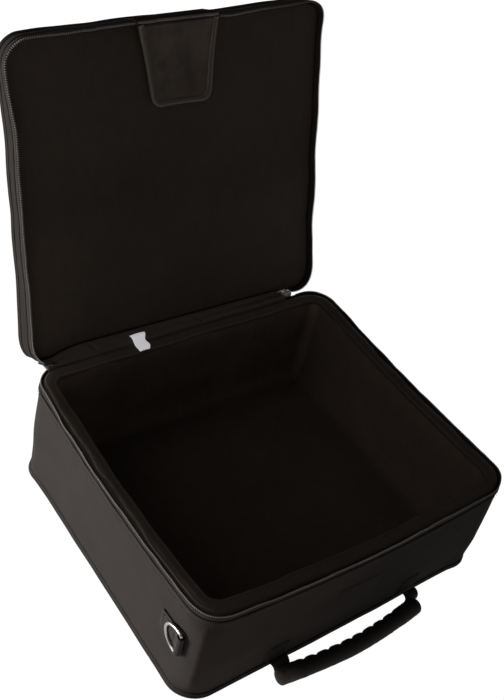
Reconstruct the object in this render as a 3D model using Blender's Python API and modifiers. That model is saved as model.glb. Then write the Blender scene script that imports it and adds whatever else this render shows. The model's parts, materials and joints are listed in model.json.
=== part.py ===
"""Soft padded carry case with a zip-round lid, modelled standing open.

Frame: origin at the centre of the case's underside, +X to the case's right, +Y to its
back (the hinge side), +Z up. Lengths below are millimetres; MM turns them into metres.
The lid is drawn closed, in the case's own frame, and its parent empty turns it open.
"""

import math

import bmesh
import bpy

MM = 0.001

# ---- driving dimensions, millimetres and degrees ----
BASE_WIDTH = 320.0
BASE_DEPTH = 286.3
BASE_CORNER = 25.0
RIM_TOP = 113.8           # top of the padded rim above the table
GAP = 0.3                 # room kept between touching pieces

SKIN = 1.6                # outer fabric
FOAM = 10.8               # wall padding
LINING = 1.3
RIM_COVER = 1.4           # lining cloth folded over the top of the wall
WALL_FOOT = 6.6           # lower edge of the walls, above the bottom seam
WALL_TOP = RIM_TOP - RIM_COVER - GAP
FABRIC_TOP = 107.5        # upper edge of the outer fabric, where the zip tape starts

PIPING_RADIUS = 2.6
PIPING_INSET = 1.0        # centre of the bottom seam's piping inside the outer face
PIPING_HEIGHT = 3.6
BOTTOM_INSET = 4.2
BOTTOM_CLOTH = 1.6
BOARD_INSET = 6.0
BOTTOM_BOARD = 3.0
BOTTOM_FOAM = 5.8

ZIP_RADIUS = 1.2          # one row of teeth, as a round coil
ZIP_INSET = 2.5           # centre of the base's teeth inside the outer face
ZIP_HEIGHT = 114.4        # centre of the base's teeth
ZIP_TAPE = 1.0
TAPE_INSET = 0.4
ZIP_END = 127.5           # the zip starts and stops this far from the middle of the back

LID_WIDTH = 306.0
LID_LENGTH = 274.0
LID_CORNER = 22.0
LID_BACK = 134.0          # back of the closed lid along Y
LID_RIM = 118.4           # lowest line of the closed lid
LID_TOP = 146.5
LID_SEAM = 144.1          # centre of the lid's piping
LID_PIPING_RADIUS = 2.4
LID_BOARD = 2.0
LID_FOAM_TOP = 140.1
LID_FOAM_LOW = 127.4
LID_CLOTH_LOW = 126.8     # lower edge of the gusset, where the zip tape ends
LID_OPEN = 107.6          # degrees from closed to the pose the case stands in
HINGE_Y = 142.0
HINGE_Z = 112.7
STRIP = 1.2               # hinge cloth
STRIP_START = 3.0         # the lid's half of the hinge cloth starts this far from the axis
STRIP_BEND = LID_RIM + 0.6  # where it turns up the back of the lid
STRIP_BASE_TOP = 111.9    # upper edge of the base's half
STRIP_LEFT = -126.0
STRIP_RIGHT = 107.0

FLAP_Y = -144.8           # axis of the closing flap, on the closed lid
FLAP_Z = 116.8
FLAP_TILT = 3.0           # degrees the hanging flap leans into the lid
FLAP_LENGTH = 76.0
FLAP_TOP_WIDTH = 78.0
FLAP_TIP_WIDTH = 57.0
FLAP_CORNER = 11.0
FLAP_CLOTH = 1.8
FLAP_BINDING = 6.0
FLAP_PANEL_START = 1.8    # the panel starts this far from the axis
FLAP_BINDING_START = 9.0
ROOT_TOP = 142.0          # the sewn end of the flap, on the lid's front
ROOT_BULGE = 126.0        # where it leaves the lid
HOOK_SIZE = (44.0, 22.0, 0.9)
HOOK_FROM_AXIS = 54.0
LOOP_SIZE = (50.0, 27.0, 0.9)
LOOP_HEIGHT = 62.5

HANDLE_Y = -146.2         # axis on which the handle swings
HANDLE_Z = 14.0
GRIP_RADIUS = 6.2
GRIP_HEIGHT = 6.6         # the grip hangs down until it lies on the table
GRIP_BORE = 2.6
GRIP_CORE = 2.2
GRIP_SPAN = 74.5          # centre line's end from the middle
GRIP_REACH = 21.0         # centre line's greatest distance from the front
GRIP_DROP = 7.0           # how much closer to the front its ends are
GRIP_CURVE = 1.7          # power of its bow
GRIP_POINTS = 25
STRAP_TOP_OUT = 3.2       # the strap's upper end, off the front face
STRAP_END_OUT = 7.6       # the strap's lower end, on the grip
STRAP_SIZE = (15.0, 2.4)
ANCHOR_SIZE = (22.0, 24.0, 1.3)
ANCHOR_X = 73.5
ANCHOR_Z = 20.0

RING_FROM_FRONT = 19.0    # bar of the shoulder ring, behind the front face
RING_HEIGHT = 67.0
RING_STAND_OFF = 4.0      # bar's centre off the side wall
RING_ROD = 1.5
RING_BAR = 26.4
RING_REACH = 19.0
RING_FLATNESS = 0.8       # power that fills out the bow of the D
RING_BEND = 0.8
RING_POINTS = 14
TAB_WIDTH = 20.6
TAB_LENGTH = 28.0
TAB_CLOTH = 1.3
TAB_HOLE = 2.3
TAB_NECK = ((0.6, 4.6), (-2.4, 7.4))  # where the cloth comes back to the wall behind the bar

SLIDER_SIZE = (12.0, 4.2, 7.6)
SLIDER_AT = (120.8, 145.8, 115.4)
SLIDER_TRAVEL_SIDE = -2.4  # bridge's place along the slider
BRIDGE_OUTER = (7.0, 2.4, 2.2)
BRIDGE_INNER = (4.2, 1.7)
PULL_LENGTH = 8.2
PULL_WIDTH = 6.0
PULL_WIRE = 0.6
SLIDER_BEVEL = 0.9
BRIDGE_SUNK = 0.6         # the bridge's feet run this far into the body

LABEL_X = -55.0
LABEL_SIZE = (14.0, 9.0, 0.5)
LABEL_Y = 132.8

ARC_STEPS = 6
LID_MID_Y = LID_BACK - LID_LENGTH / 2

OUTER = ("outer_fabric", (0.055, 0.051, 0.050), 0.75, 0.0)
LINER = ("lining_fabric", (0.018, 0.015, 0.013), 0.9, 0.0)
PAD = ("foam", (0.30, 0.30, 0.31), 0.95, 0.0)
BOARD = ("stiffener", (0.12, 0.12, 0.12), 0.6, 0.0)
TRIM = ("piping", (0.030, 0.028, 0.028), 0.6, 0.0)
TAPE = ("zip_tape", (0.030, 0.028, 0.027), 0.8, 0.0)
TEETH = ("zip_teeth", (0.16, 0.155, 0.15), 0.4, 0.0)
WEBBING = ("webbing", (0.040, 0.038, 0.037), 0.8, 0.0)
HOOK_AND_LOOP = ("hook_and_loop", (0.015, 0.014, 0.014), 0.95, 0.0)
SOFT_HIDE = ("leatherette", (0.035, 0.031, 0.028), 0.5, 0.0)
GRIP = ("grip_rubber", (0.028, 0.026, 0.026), 0.6, 0.0)
METAL = ("nickel", (0.62, 0.61, 0.60), 0.28, 1.0)
PAPER = ("label_cloth", (0.62, 0.61, 0.62), 0.85, 0.0)


# ---- scene and materials ----

def clear_scene():
    for obj in list(bpy.data.objects):
        bpy.data.objects.remove(obj, do_unlink=True)


def new_collection(name):
    collection = bpy.data.collections.new(name)
    bpy.context.scene.collection.children.link(collection)
    return collection


def material(spec):
    """A Principled material from (name, colour, roughness, metallic), made once."""
    name, colour, roughness, metallic = spec
    found = bpy.data.materials.get(name)
    if found:
        return found
    made = bpy.data.materials.new(name)
    made.use_nodes = True
    shader = made.node_tree.nodes["Principled BSDF"]
    shader.inputs["Base Color"].default_value = (*colour, 1.0)
    shader.inputs["Roughness"].default_value = roughness
    shader.inputs["Metallic"].default_value = metallic
    return made


def metres(point):
    return tuple(value * MM for value in point)


class Frame:
    """A parent empty, and the point of the drawing that it stands on."""

    def __init__(self, name, at, turn_x=0.0, parent=None):
        self.at = at
        self.empty = bpy.data.objects.new(name, None)
        self.empty.location = metres(at if parent is None else
                                     [a - b for a, b in zip(at, parent.at)])
        self.empty.rotation_euler.x = math.radians(turn_x)
        self.empty.parent = parent.empty if parent else None
        parts.objects.link(self.empty)


def place(obj, spec, at=(0.0, 0.0, 0.0), frame=None):
    """Give a piece its material, its place and its parent."""
    origin = frame.at if frame else (0.0, 0.0, 0.0)
    obj.location = metres([a - b for a, b in zip(at, origin)])
    obj.parent = frame.empty if frame else None
    obj.data.materials.append(material(spec))
    parts.objects.link(obj)
    return obj


# ---- outlines, as lists of (x, y) ----

def arc(centre, radius, start, end, steps=ARC_STEPS):
    """Points of an arc from start to end, in degrees."""
    angles = [math.radians(start + (end - start) * i / steps) for i in range(steps + 1)]
    return [(centre[0] + radius * math.cos(a), centre[1] + radius * math.sin(a))
            for a in angles]


def rounded_rect(width, length, radius, mid=(0.0, 0.0)):
    """Anticlockwise outline that starts at the right front corner."""
    across = width / 2 - radius
    along = length / 2 - radius
    corners = ((across, -along), (across, along), (-across, along), (-across, -along))
    points = []
    for i, (x, y) in enumerate(corners):
        points += arc((mid[0] + x, mid[1] + y), radius, 90 * i - 90, 90 * i)
    return points


def base_outline(inset):
    return rounded_rect(BASE_WIDTH - 2 * inset, BASE_DEPTH - 2 * inset, BASE_CORNER - inset)


def lid_outline(inset):
    return rounded_rect(LID_WIDTH - 2 * inset, LID_LENGTH - 2 * inset, LID_CORNER - inset,
                        (0.0, LID_MID_Y))


def zip_path(outline):
    """A case outline cut open at the back, from the left end of the zip to the right."""
    half = len(outline) // 2
    back = outline[half][1]
    return [(-ZIP_END, back), *outline[half:], *outline[:half], (ZIP_END, back)]


def zip_band(outline_at, inset, thickness):
    """Outline of an upright band along the zip's path."""
    return zip_path(outline_at(inset)) + zip_path(outline_at(inset + thickness))[::-1]


def clipped(points, axis, limit, above):
    """The part of a convex outline above or below a limit along X (0) or Y (1)."""
    side = 1.0 if above else -1.0
    kept = []
    for here, after in zip(points, points[1:] + points[:1]):
        a = side * (here[axis] - limit)
        b = side * (after[axis] - limit)
        if a >= 0:
            kept.append(here)
        if a * b < 0:
            t = a / (a - b)
            kept.append(tuple(p + t * (q - p) for p, q in zip(here, after)))
    return kept


# ---- solids ----

def outline_data(name, loops, thickness):
    """A flat 2D curve of closed loops, filled and thickened."""
    curve = bpy.data.curves.new(name, "CURVE")
    curve.dimensions = "2D"
    curve.fill_mode = "BOTH"
    curve.extrude = thickness * MM / 2
    for loop in loops:
        spline = curve.splines.new("POLY")
        spline.points.add(len(loop) - 1)
        for point, (x, y) in zip(spline.points, loop):
            point.co = (x * MM, y * MM, 0.0, 1.0)
        spline.use_cyclic_u = True
    return curve


def slab(name, loops, low, high, spec, frame=None, mid=(0.0, 0.0)):
    """Outlines in the XY plane, thickened from one height to another."""
    obj = bpy.data.objects.new(name, outline_data(name, loops, high - low))
    return place(obj, spec, (*mid, (low + high) / 2), frame)


def rail(name, outline, left, right, spec, frame=None):
    """An outline in the YZ plane, drawn as (y, z), that runs from left to right."""
    obj = bpy.data.objects.new(name, outline_data(name, [outline], right - left))
    obj.rotation_euler = (math.pi / 2, 0.0, math.pi / 2)
    return place(obj, spec, ((left + right) / 2, 0.0, 0.0), frame)


def tube(name, points, radius, spec, at=(0.0, 0.0, 0.0), frame=None, closed=False):
    """A round rod along 3D points, drawn relative to its own place."""
    curve = bpy.data.curves.new(name, "CURVE")
    curve.dimensions = "3D"
    curve.bevel_depth = radius * MM
    curve.bevel_resolution = 2
    curve.use_fill_caps = not closed
    spline = curve.splines.new("POLY")
    spline.points.add(len(points) - 1)
    for point, co in zip(spline.points, points):
        point.co = (*metres(co), 1.0)
    spline.use_cyclic_u = closed
    return place(bpy.data.objects.new(name, curve), spec, at, frame)


def block(name, size, spec, at, frame=None, bevel=0.0):
    """A box, with bevelled edges where a bevel is given."""
    mesh = bpy.data.meshes.new(name)
    shape = bmesh.new()
    bmesh.ops.create_cube(shape, size=1.0)
    bmesh.ops.scale(shape, vec=metres(size), verts=shape.verts)
    shape.to_mesh(mesh)
    shape.free()
    obj = place(bpy.data.objects.new(name, mesh), spec, at, frame)
    if bevel:
        rounding = obj.modifiers.new("rounding", "BEVEL")
        rounding.width = bevel * MM
        rounding.segments = 2
    return obj


def as_mesh(obj):
    """Replace a curve by its welded mesh, so that it can be cut."""
    bpy.context.view_layer.update()
    evaluated = obj.evaluated_get(bpy.context.evaluated_depsgraph_get())
    mesh = bpy.data.meshes.new_from_object(evaluated)
    shape = bmesh.new()
    shape.from_mesh(mesh)
    bmesh.ops.remove_doubles(shape, verts=shape.verts, dist=1e-6)
    shape.to_mesh(mesh)
    shape.free()
    name = obj.name
    solid = bpy.data.objects.new(name + "_mesh", mesh)
    solid.matrix_world = obj.matrix_world
    solid.parent = obj.parent
    solid.matrix_parent_inverse = obj.parent.matrix_world.inverted() if obj.parent else \
        solid.matrix_parent_inverse
    holder = obj.users_collection[0]
    bpy.data.objects.remove(obj, do_unlink=True)
    solid.name = name
    holder.objects.link(solid)
    return solid


def combine(obj, other, operation):
    """Boolean with a second piece, which moves to the cutters."""
    for holder in list(other.users_collection):
        holder.objects.unlink(other)
    cutters.objects.link(other)
    other.hide_render = True
    other.display_type = "WIRE"
    change = obj.modifiers.new(operation.lower(), "BOOLEAN")
    change.operation = operation
    change.object = other
    change.solver = "EXACT"


def shade_round(obj):
    if obj.type == "MESH":
        obj.data.shade_smooth()
        obj.data.set_sharp_from_angle(angle=math.radians(35))


# ---- base ----

def make_bottom():
    slab("base_bottom_panel", [base_outline(BOTTOM_INSET)], 0.0, BOTTOM_CLOTH, OUTER)
    board_low = BOTTOM_CLOTH + GAP
    board_top = board_low + BOTTOM_BOARD
    slab("base_bottom_board", [base_outline(BOARD_INSET)], board_low, board_top, BOARD)
    foam_inset = SKIN + GAP + FOAM + GAP
    slab("base_bottom_foam", [base_outline(foam_inset)], board_top + GAP,
         board_top + GAP + BOTTOM_FOAM, PAD)
    path = [(x, y, 0.0) for x, y in base_outline(PIPING_INSET)]
    tube("base_bottom_piping", path, PIPING_RADIUS, TRIM, (0.0, 0.0, PIPING_HEIGHT), closed=True)
    return board_top + GAP + BOTTOM_FOAM


def make_walls():
    slab("base_side_band", [base_outline(0.0), base_outline(SKIN)], WALL_FOOT, FABRIC_TOP, OUTER)
    outer = base_outline(SKIN + GAP)
    inner_x = BASE_WIDTH / 2 - SKIN - GAP - FOAM
    inner_y = BASE_DEPTH / 2 - SKIN - GAP - FOAM
    boards = {"base_front_foam": clipped(outer, 1, -inner_y, above=False),
              "base_back_foam": clipped(outer, 1, inner_y, above=True)}
    between = clipped(clipped(outer, 1, GAP - inner_y, above=True), 1, inner_y - GAP, above=False)
    boards["base_left_foam"] = clipped(between, 0, -inner_x, above=False)
    boards["base_right_foam"] = clipped(between, 0, inner_x, above=True)
    for name, outline in boards.items():
        slab(name, [outline], WALL_FOOT, WALL_TOP, PAD)


def make_lining(floor):
    """The lining is an open tub; a band of the same cloth covers the top of the wall."""
    inset = SKIN + GAP + FOAM + GAP
    mesh = bpy.data.meshes.new("base_lining")
    shape = bmesh.new()
    low = (floor + GAP) * MM
    corners = [shape.verts.new((x * MM, y * MM, low)) for x, y in base_outline(inset)]
    shape.faces.new(corners)
    walls = bmesh.ops.extrude_edge_only(shape, edges=shape.edges[:])
    raised = [item for item in walls["geom"] if isinstance(item, bmesh.types.BMVert)]
    bmesh.ops.translate(shape, verts=raised, vec=(0.0, 0.0, WALL_TOP * MM - low))
    bmesh.ops.recalc_face_normals(shape, faces=shape.faces)
    shape.to_mesh(mesh)
    shape.free()
    tub = place(bpy.data.objects.new("base_lining", mesh), LINER)
    thicken = tub.modifiers.new("cloth", "SOLIDIFY")
    thicken.thickness = LINING * MM
    thicken.offset = -1.0
    thicken.use_even_offset = True
    slab("base_rim_cover", [base_outline(ZIP_INSET + ZIP_RADIUS + 2 * GAP),
                            base_outline(inset + LINING)], WALL_TOP + GAP, RIM_TOP, LINER)


def make_base_zip():
    tape_top = ZIP_HEIGHT - ZIP_RADIUS - GAP
    slab("base_zip_tape", [zip_band(base_outline, TAPE_INSET, ZIP_TAPE)], FABRIC_TOP + GAP, tape_top, TAPE)
    path = [(x, y, 0.0) for x, y in zip_path(base_outline(ZIP_INSET))]
    tube("base_zip_teeth", path, ZIP_RADIUS, TEETH, (0.0, 0.0, ZIP_HEIGHT))


def make_base_trim():
    """The flap's landing patch, the hinge cloth's lower edge and the sewn-in label."""
    front = -BASE_DEPTH / 2
    wide, tall, thick = LOOP_SIZE
    block("hook_landing_patch", (wide, thick, tall), HOOK_AND_LOOP,
          (0.0, front - GAP - thick / 2, LOOP_HEIGHT))
    back = BASE_DEPTH / 2
    edge = [(back - STRIP, FABRIC_TOP + GAP), (back, FABRIC_TOP + GAP),
            (back, STRIP_BASE_TOP), (back - STRIP, STRIP_BASE_TOP)]
    rail("hinge_cloth_base_edge", edge, STRIP_LEFT, STRIP_RIGHT, TRIM)
    block("care_label", LABEL_SIZE, PAPER, (LABEL_X, LABEL_Y, RIM_TOP + GAP + LABEL_SIZE[2] / 2))


# ---- shoulder rings ----

def make_shoulder_ring(side, name):
    """A D ring folded back over its webbing tab; side is -1 for the left wall, 1 for the right."""
    wall = side * BASE_WIDTH / 2
    bar = (wall + side * RING_STAND_OFF, RING_FROM_FRONT - BASE_DEPTH / 2, RING_HEIGHT)
    half = RING_BAR / 2
    bow = [(RING_REACH * math.sin(a) ** RING_FLATNESS, half * math.cos(a))
           for a in (math.pi * i / RING_POINTS for i in range(1, RING_POINTS))]
    path = [(0.0, RING_BEND - half), (0.0, 0.0), (0.0, half - RING_BEND), *bow]
    tube(f"d_ring_{name}", [(0.0, y, z) for y, z in path], RING_ROD, METAL, bar, closed=True)

    near = GAP - RING_STAND_OFF
    outer = RING_STAND_OFF - GAP
    loop = [(near, TAB_LENGTH), *arc((0.0, 0.0), outer, 180.0, 360.0, 8),
            *TAB_NECK, (near + TAB_CLOTH, TAB_LENGTH)]
    hole = arc((0.0, 0.0), TAB_HOLE, 0.0, 330.0, 11)
    loops = [[(side * x, y) for x, y in points] for points in (loop, hole)]
    slab(f"d_ring_tab_{name}", loops, RING_HEIGHT - TAB_WIDTH / 2, RING_HEIGHT + TAB_WIDTH / 2,
         WEBBING, mid=bar[:2])


# ---- handle ----

def grip_line():
    """Centre line of the grip, as (x, distance from the front)."""
    line = []
    for i in range(GRIP_POINTS):
        t = 2.0 * i / (GRIP_POINTS - 1) - 1.0
        line.append((GRIP_SPAN * t, GRIP_REACH - GRIP_DROP * abs(t) ** GRIP_CURVE))
    return line


def make_handle():
    front = -BASE_DEPTH / 2
    frame = Frame("handle_axis", (0.0, HANDLE_Y, HANDLE_Z))
    line = [(x, front - out, 0.0) for x, out in grip_line()]
    at = (0.0, 0.0, GRIP_HEIGHT)
    grip = as_mesh(tube("handle_grip", line, GRIP_RADIUS, GRIP, at, frame))
    ends = [(line[end][0] * 1.05, line[end][1] + 1.0, 0.0) for end in (0, -1)]
    longer = [ends[0], *line, ends[1]]
    bore = as_mesh(tube("handle_bore", longer, GRIP_BORE, GRIP, at, frame))
    combine(grip, bore, "DIFFERENCE")
    shade_round(grip)
    tube("handle_core", line, GRIP_CORE, WEBBING, at, frame)

    width, thick = STRAP_SIZE
    top = (front - STRAP_TOP_OUT, HANDLE_Z + thick / 2)
    end = (front - STRAP_END_OUT, GRIP_HEIGHT + GRIP_RADIUS + GAP)
    low = (end[0] + thick / 4, end[1] - 2.2 * thick)
    strap = [top, end, (end[0] + thick / 4, end[1] - thick), low,
             (top[0], (top[1] + end[1]) / 2 - thick)]
    wide, tall, deep = ANCHOR_SIZE
    for side, name in ((-1, "left"), (1, "right")):
        middle = side * ANCHOR_X
        rail(f"handle_strap_{name}", strap, middle - width / 2, middle + width / 2, WEBBING, frame)
        block(f"handle_anchor_{name}", (wide, deep, tall), SOFT_HIDE,
              (middle, front - GAP - deep / 2, ANCHOR_Z), bevel=deep / 3)


# ---- zip slider ----

def make_slider():
    """The slider's body carries a bridge on its outer face, and a wire loop to pull it."""
    frame = Frame("slider_axis", SLIDER_AT)
    length, thick, tall = SLIDER_SIZE
    body = block("zip_slider", SLIDER_SIZE, METAL, SLIDER_AT, frame, SLIDER_BEVEL)
    x = SLIDER_AT[0] + SLIDER_TRAVEL_SIDE
    face = SLIDER_AT[1] + thick / 2
    wide, high, deep = BRIDGE_OUTER
    opening, clear = BRIDGE_INNER
    foot = face - BRIDGE_SUNK
    arch = [(x - wide / 2, foot), (x - opening / 2, foot),
            (x - opening / 2, face + clear), (x + opening / 2, face + clear),
            (x + opening / 2, foot), (x + wide / 2, foot),
            (x + wide / 2, face + high), (x - wide / 2, face + high)]
    middle = SLIDER_AT[2]
    bridge = as_mesh(slab("slider_bridge", [arch], middle - deep / 2, middle + deep / 2,
                          METAL, frame))
    combine(body, bridge, "UNION")
    pull_at = (x, face + clear / 2, middle)
    ends = PULL_WIDTH / 2
    bow = [(-PULL_LENGTH + ends - ends * math.cos(a), ends * math.sin(a))
           for a in (math.pi * (i - 4) / 8 for i in range(9))]
    loop = [(0.0, -ends), *bow, (0.0, ends), (0.0, 0.0)]
    tube("zip_pull", [(px, 0.0, pz) for px, pz in loop], PULL_WIRE, METAL, pull_at, frame,
         closed=True)


# ---- lid, drawn closed ----

def make_lid(frame):
    panel_low = LID_TOP - BOTTOM_CLOTH
    slab("lid_top_panel", [lid_outline(BOTTOM_INSET)], panel_low, LID_TOP, OUTER, frame)
    board_top = panel_low - GAP
    slab("lid_board", [lid_outline(BOARD_INSET)], board_top - LID_BOARD, board_top, BOARD, frame)
    inside = [lid_outline(SKIN + GAP)]
    slab("lid_foam", inside, LID_FOAM_LOW, LID_FOAM_TOP, PAD, frame)
    lining_top = LID_FOAM_LOW - GAP
    slab("lid_lining", inside, lining_top - LINING, lining_top, LINER, frame)
    gusset_top = LID_SEAM - LID_PIPING_RADIUS - GAP
    slab("lid_gusset", [lid_outline(0.0), lid_outline(SKIN)], LID_CLOTH_LOW, gusset_top, OUTER,
         frame)
    path = [(x, y, 0.0) for x, y in lid_outline(PIPING_INSET)]
    tube("lid_top_piping", path, LID_PIPING_RADIUS, TRIM, (0.0, 0.0, LID_SEAM), frame, closed=True)

    teeth = LID_RIM + ZIP_RADIUS
    tape_top = LID_CLOTH_LOW - GAP
    slab("lid_zip_tape", [zip_band(lid_outline, TAPE_INSET / 2, ZIP_TAPE)],
         teeth + ZIP_RADIUS + GAP, tape_top, TAPE, frame)
    path = [(x, y, 0.0) for x, y in zip_path(lid_outline(ZIP_RADIUS))]
    tube("lid_zip_teeth", path, ZIP_RADIUS, TEETH, (0.0, 0.0, teeth), frame)
    make_hinge_cloth(frame, tape_top)


def make_hinge_cloth(frame, top):
    """The lid's half of the hinge cloth: out from the axis, then up the back of the lid."""
    rise = (LID_BACK - HINGE_Y, STRIP_BEND - HINGE_Z)
    reach = math.hypot(*rise)
    along = (rise[0] / reach, rise[1] / reach)
    across = (along[1], -along[0])
    start = (HINGE_Y + STRIP_START * along[0], HINGE_Z + STRIP_START * along[1])
    half = STRIP / 2
    inner = LID_BACK - STRIP
    outline = [(start[0] - half * across[0], start[1] - half * across[1]),
               (inner, STRIP_BEND - half), (inner, top), (LID_BACK, top),
               (LID_BACK, STRIP_BEND + half),
               (start[0] + half * across[0], start[1] + half * across[1])]
    rail("hinge_cloth_lid_edge", outline, STRIP_LEFT, STRIP_RIGHT, TRIM, frame)


# ---- closing flap, drawn from its own axis along +Y ----

def flap_outline(inset, start):
    """The tongue from a start line to its round tip, sides drawn in by the inset."""
    tip = FLAP_LENGTH - inset
    radius = FLAP_CORNER - inset

    def half_width(y):
        share = y / FLAP_LENGTH
        return (FLAP_TOP_WIDTH + (FLAP_TIP_WIDTH - FLAP_TOP_WIDTH) * share) / 2 - inset

    centre_y = tip - radius
    centre_x = half_width(centre_y) - radius
    right = [(half_width(start), start), *arc((centre_x, centre_y), radius, 0.0, 90.0)]
    return right + [(-x, y) for x, y in right[::-1]]


def make_flap(lid):
    half = FLAP_CLOTH / 2
    face = LID_BACK - LID_LENGTH - GAP
    root_low = FLAP_Z + FLAP_PANEL_START
    root = [(face, ROOT_TOP), (face - FLAP_CLOTH, ROOT_TOP),
            (FLAP_Y - half, ROOT_BULGE - 2 * FLAP_CLOTH), (FLAP_Y - half, root_low),
            (FLAP_Y + half, root_low), (face, ROOT_BULGE)]
    rail("flap_root", root, -FLAP_TOP_WIDTH / 2, FLAP_TOP_WIDTH / 2, SOFT_HIDE, lid)

    frame = Frame("flap_axis", (0.0, FLAP_Y, FLAP_Z), FLAP_TILT, lid)
    at_axis = frame.at
    panel = flap_outline(FLAP_BINDING + GAP, FLAP_PANEL_START)
    slab("flap_panel", [panel], at_axis[2] - half, at_axis[2] + half, SOFT_HIDE, frame,
         mid=at_axis[:2])
    start = FLAP_BINDING_START
    band = flap_outline(0.0, start) + flap_outline(FLAP_BINDING, start)[::-1]
    slab("flap_binding", [band], at_axis[2] - half, at_axis[2] + half, TRIM, frame,
         mid=at_axis[:2])
    thick = HOOK_SIZE[2]
    block("flap_hook_patch", HOOK_SIZE, HOOK_AND_LOOP,
          (0.0, at_axis[1] + HOOK_FROM_AXIS, at_axis[2] + half + GAP + thick / 2), frame)


clear_scene()
parts = new_collection("miniature_carry_case")
cutters = new_collection("cutters")

make_lining(make_bottom())
make_walls()
make_base_zip()
make_base_trim()
make_shoulder_ring(-1, "left")
make_shoulder_ring(1, "right")
make_handle()
make_slider()

lid_frame = Frame("lid_axis", (0.0, HINGE_Y, HINGE_Z), -LID_OPEN)
make_lid(lid_frame)
make_flap(lid_frame)
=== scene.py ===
"""Looks of the soft padded carry case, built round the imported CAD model.

Lengths in this file are millimetres in the model's own frame; MM turns them into metres.
Pieces of the lid are drawn with the lid closed and then turned open with it.
"""

import json
import math

import bmesh
import bpy
import numpy as np
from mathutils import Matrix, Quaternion, Vector, noise


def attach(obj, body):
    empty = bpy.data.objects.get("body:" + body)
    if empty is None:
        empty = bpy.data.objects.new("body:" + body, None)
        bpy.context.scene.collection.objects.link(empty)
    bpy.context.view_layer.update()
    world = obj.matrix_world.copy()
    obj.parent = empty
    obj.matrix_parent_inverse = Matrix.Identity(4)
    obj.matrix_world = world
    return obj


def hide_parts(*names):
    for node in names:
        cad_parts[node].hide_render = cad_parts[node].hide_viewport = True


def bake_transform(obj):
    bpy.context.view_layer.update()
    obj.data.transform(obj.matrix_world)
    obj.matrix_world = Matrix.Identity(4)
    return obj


MM = 0.001

# ---- sizes that the CAD model has too ----
BASE = (320.0, 286.3, 25.0)          # width, depth and corner radius
RIM_TOP = 113.8
FABRIC_TOP = 107.5
ZIP_END = 127.5
TAPE_TAIL = 111.0                    # the base's tape runs on this far behind the slider
LID = (306.0, 274.0, 22.0)
LID_MID_Y = -3.0
LID_TOP = 146.5
LID_SEAM = 144.1
LID_CLOTH_LOW = 126.8
LID_OPEN = 107.6
HINGE = (142.0, 112.7)               # y and z
STRIP = (-146.0, 115.0)
HINGE_FOLDS = ((-136.0, 2.6, 2.2), (-97.0, 1.5, 2.4), (-52.0, 2.0, 1.4), (15.0, 2.4, 2.0),
               (61.0, 1.6, 1.0), (88.0, 1.8, 1.3))
FLAP_AXIS = (-144.8, 116.8)          # y and z, lid closed
FLAP_TILT = 3.0
FLAP_LENGTH = 76.0
GRIP_SPAN = 75.5
GRIP_REACH = 22.2
GRIP_DROP = 7.0
GRIP_CURVE = 1.7
GRIP_RADIUS = 7.6
GRIP_HEIGHT = 7.5
HANDLE_AXIS = (-146.2, 14.0)
ANCHOR_X = 73.5
RING_X = 164.0
RING_Y = -124.15
RING_Z = 67.0
RING_ROD = 1.5
SLIDER = (118.7, 145.8, 113.4)

FRONT = -BASE[1] / 2
BACK = BASE[1] / 2

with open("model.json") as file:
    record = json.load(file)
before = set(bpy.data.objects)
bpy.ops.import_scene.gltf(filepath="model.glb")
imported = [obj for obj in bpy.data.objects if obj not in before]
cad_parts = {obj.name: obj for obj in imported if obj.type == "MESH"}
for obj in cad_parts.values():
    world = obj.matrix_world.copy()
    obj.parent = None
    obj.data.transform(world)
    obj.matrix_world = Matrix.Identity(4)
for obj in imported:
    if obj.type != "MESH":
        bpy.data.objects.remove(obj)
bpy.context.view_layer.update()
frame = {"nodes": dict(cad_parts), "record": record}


# ---- materials ----

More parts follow.
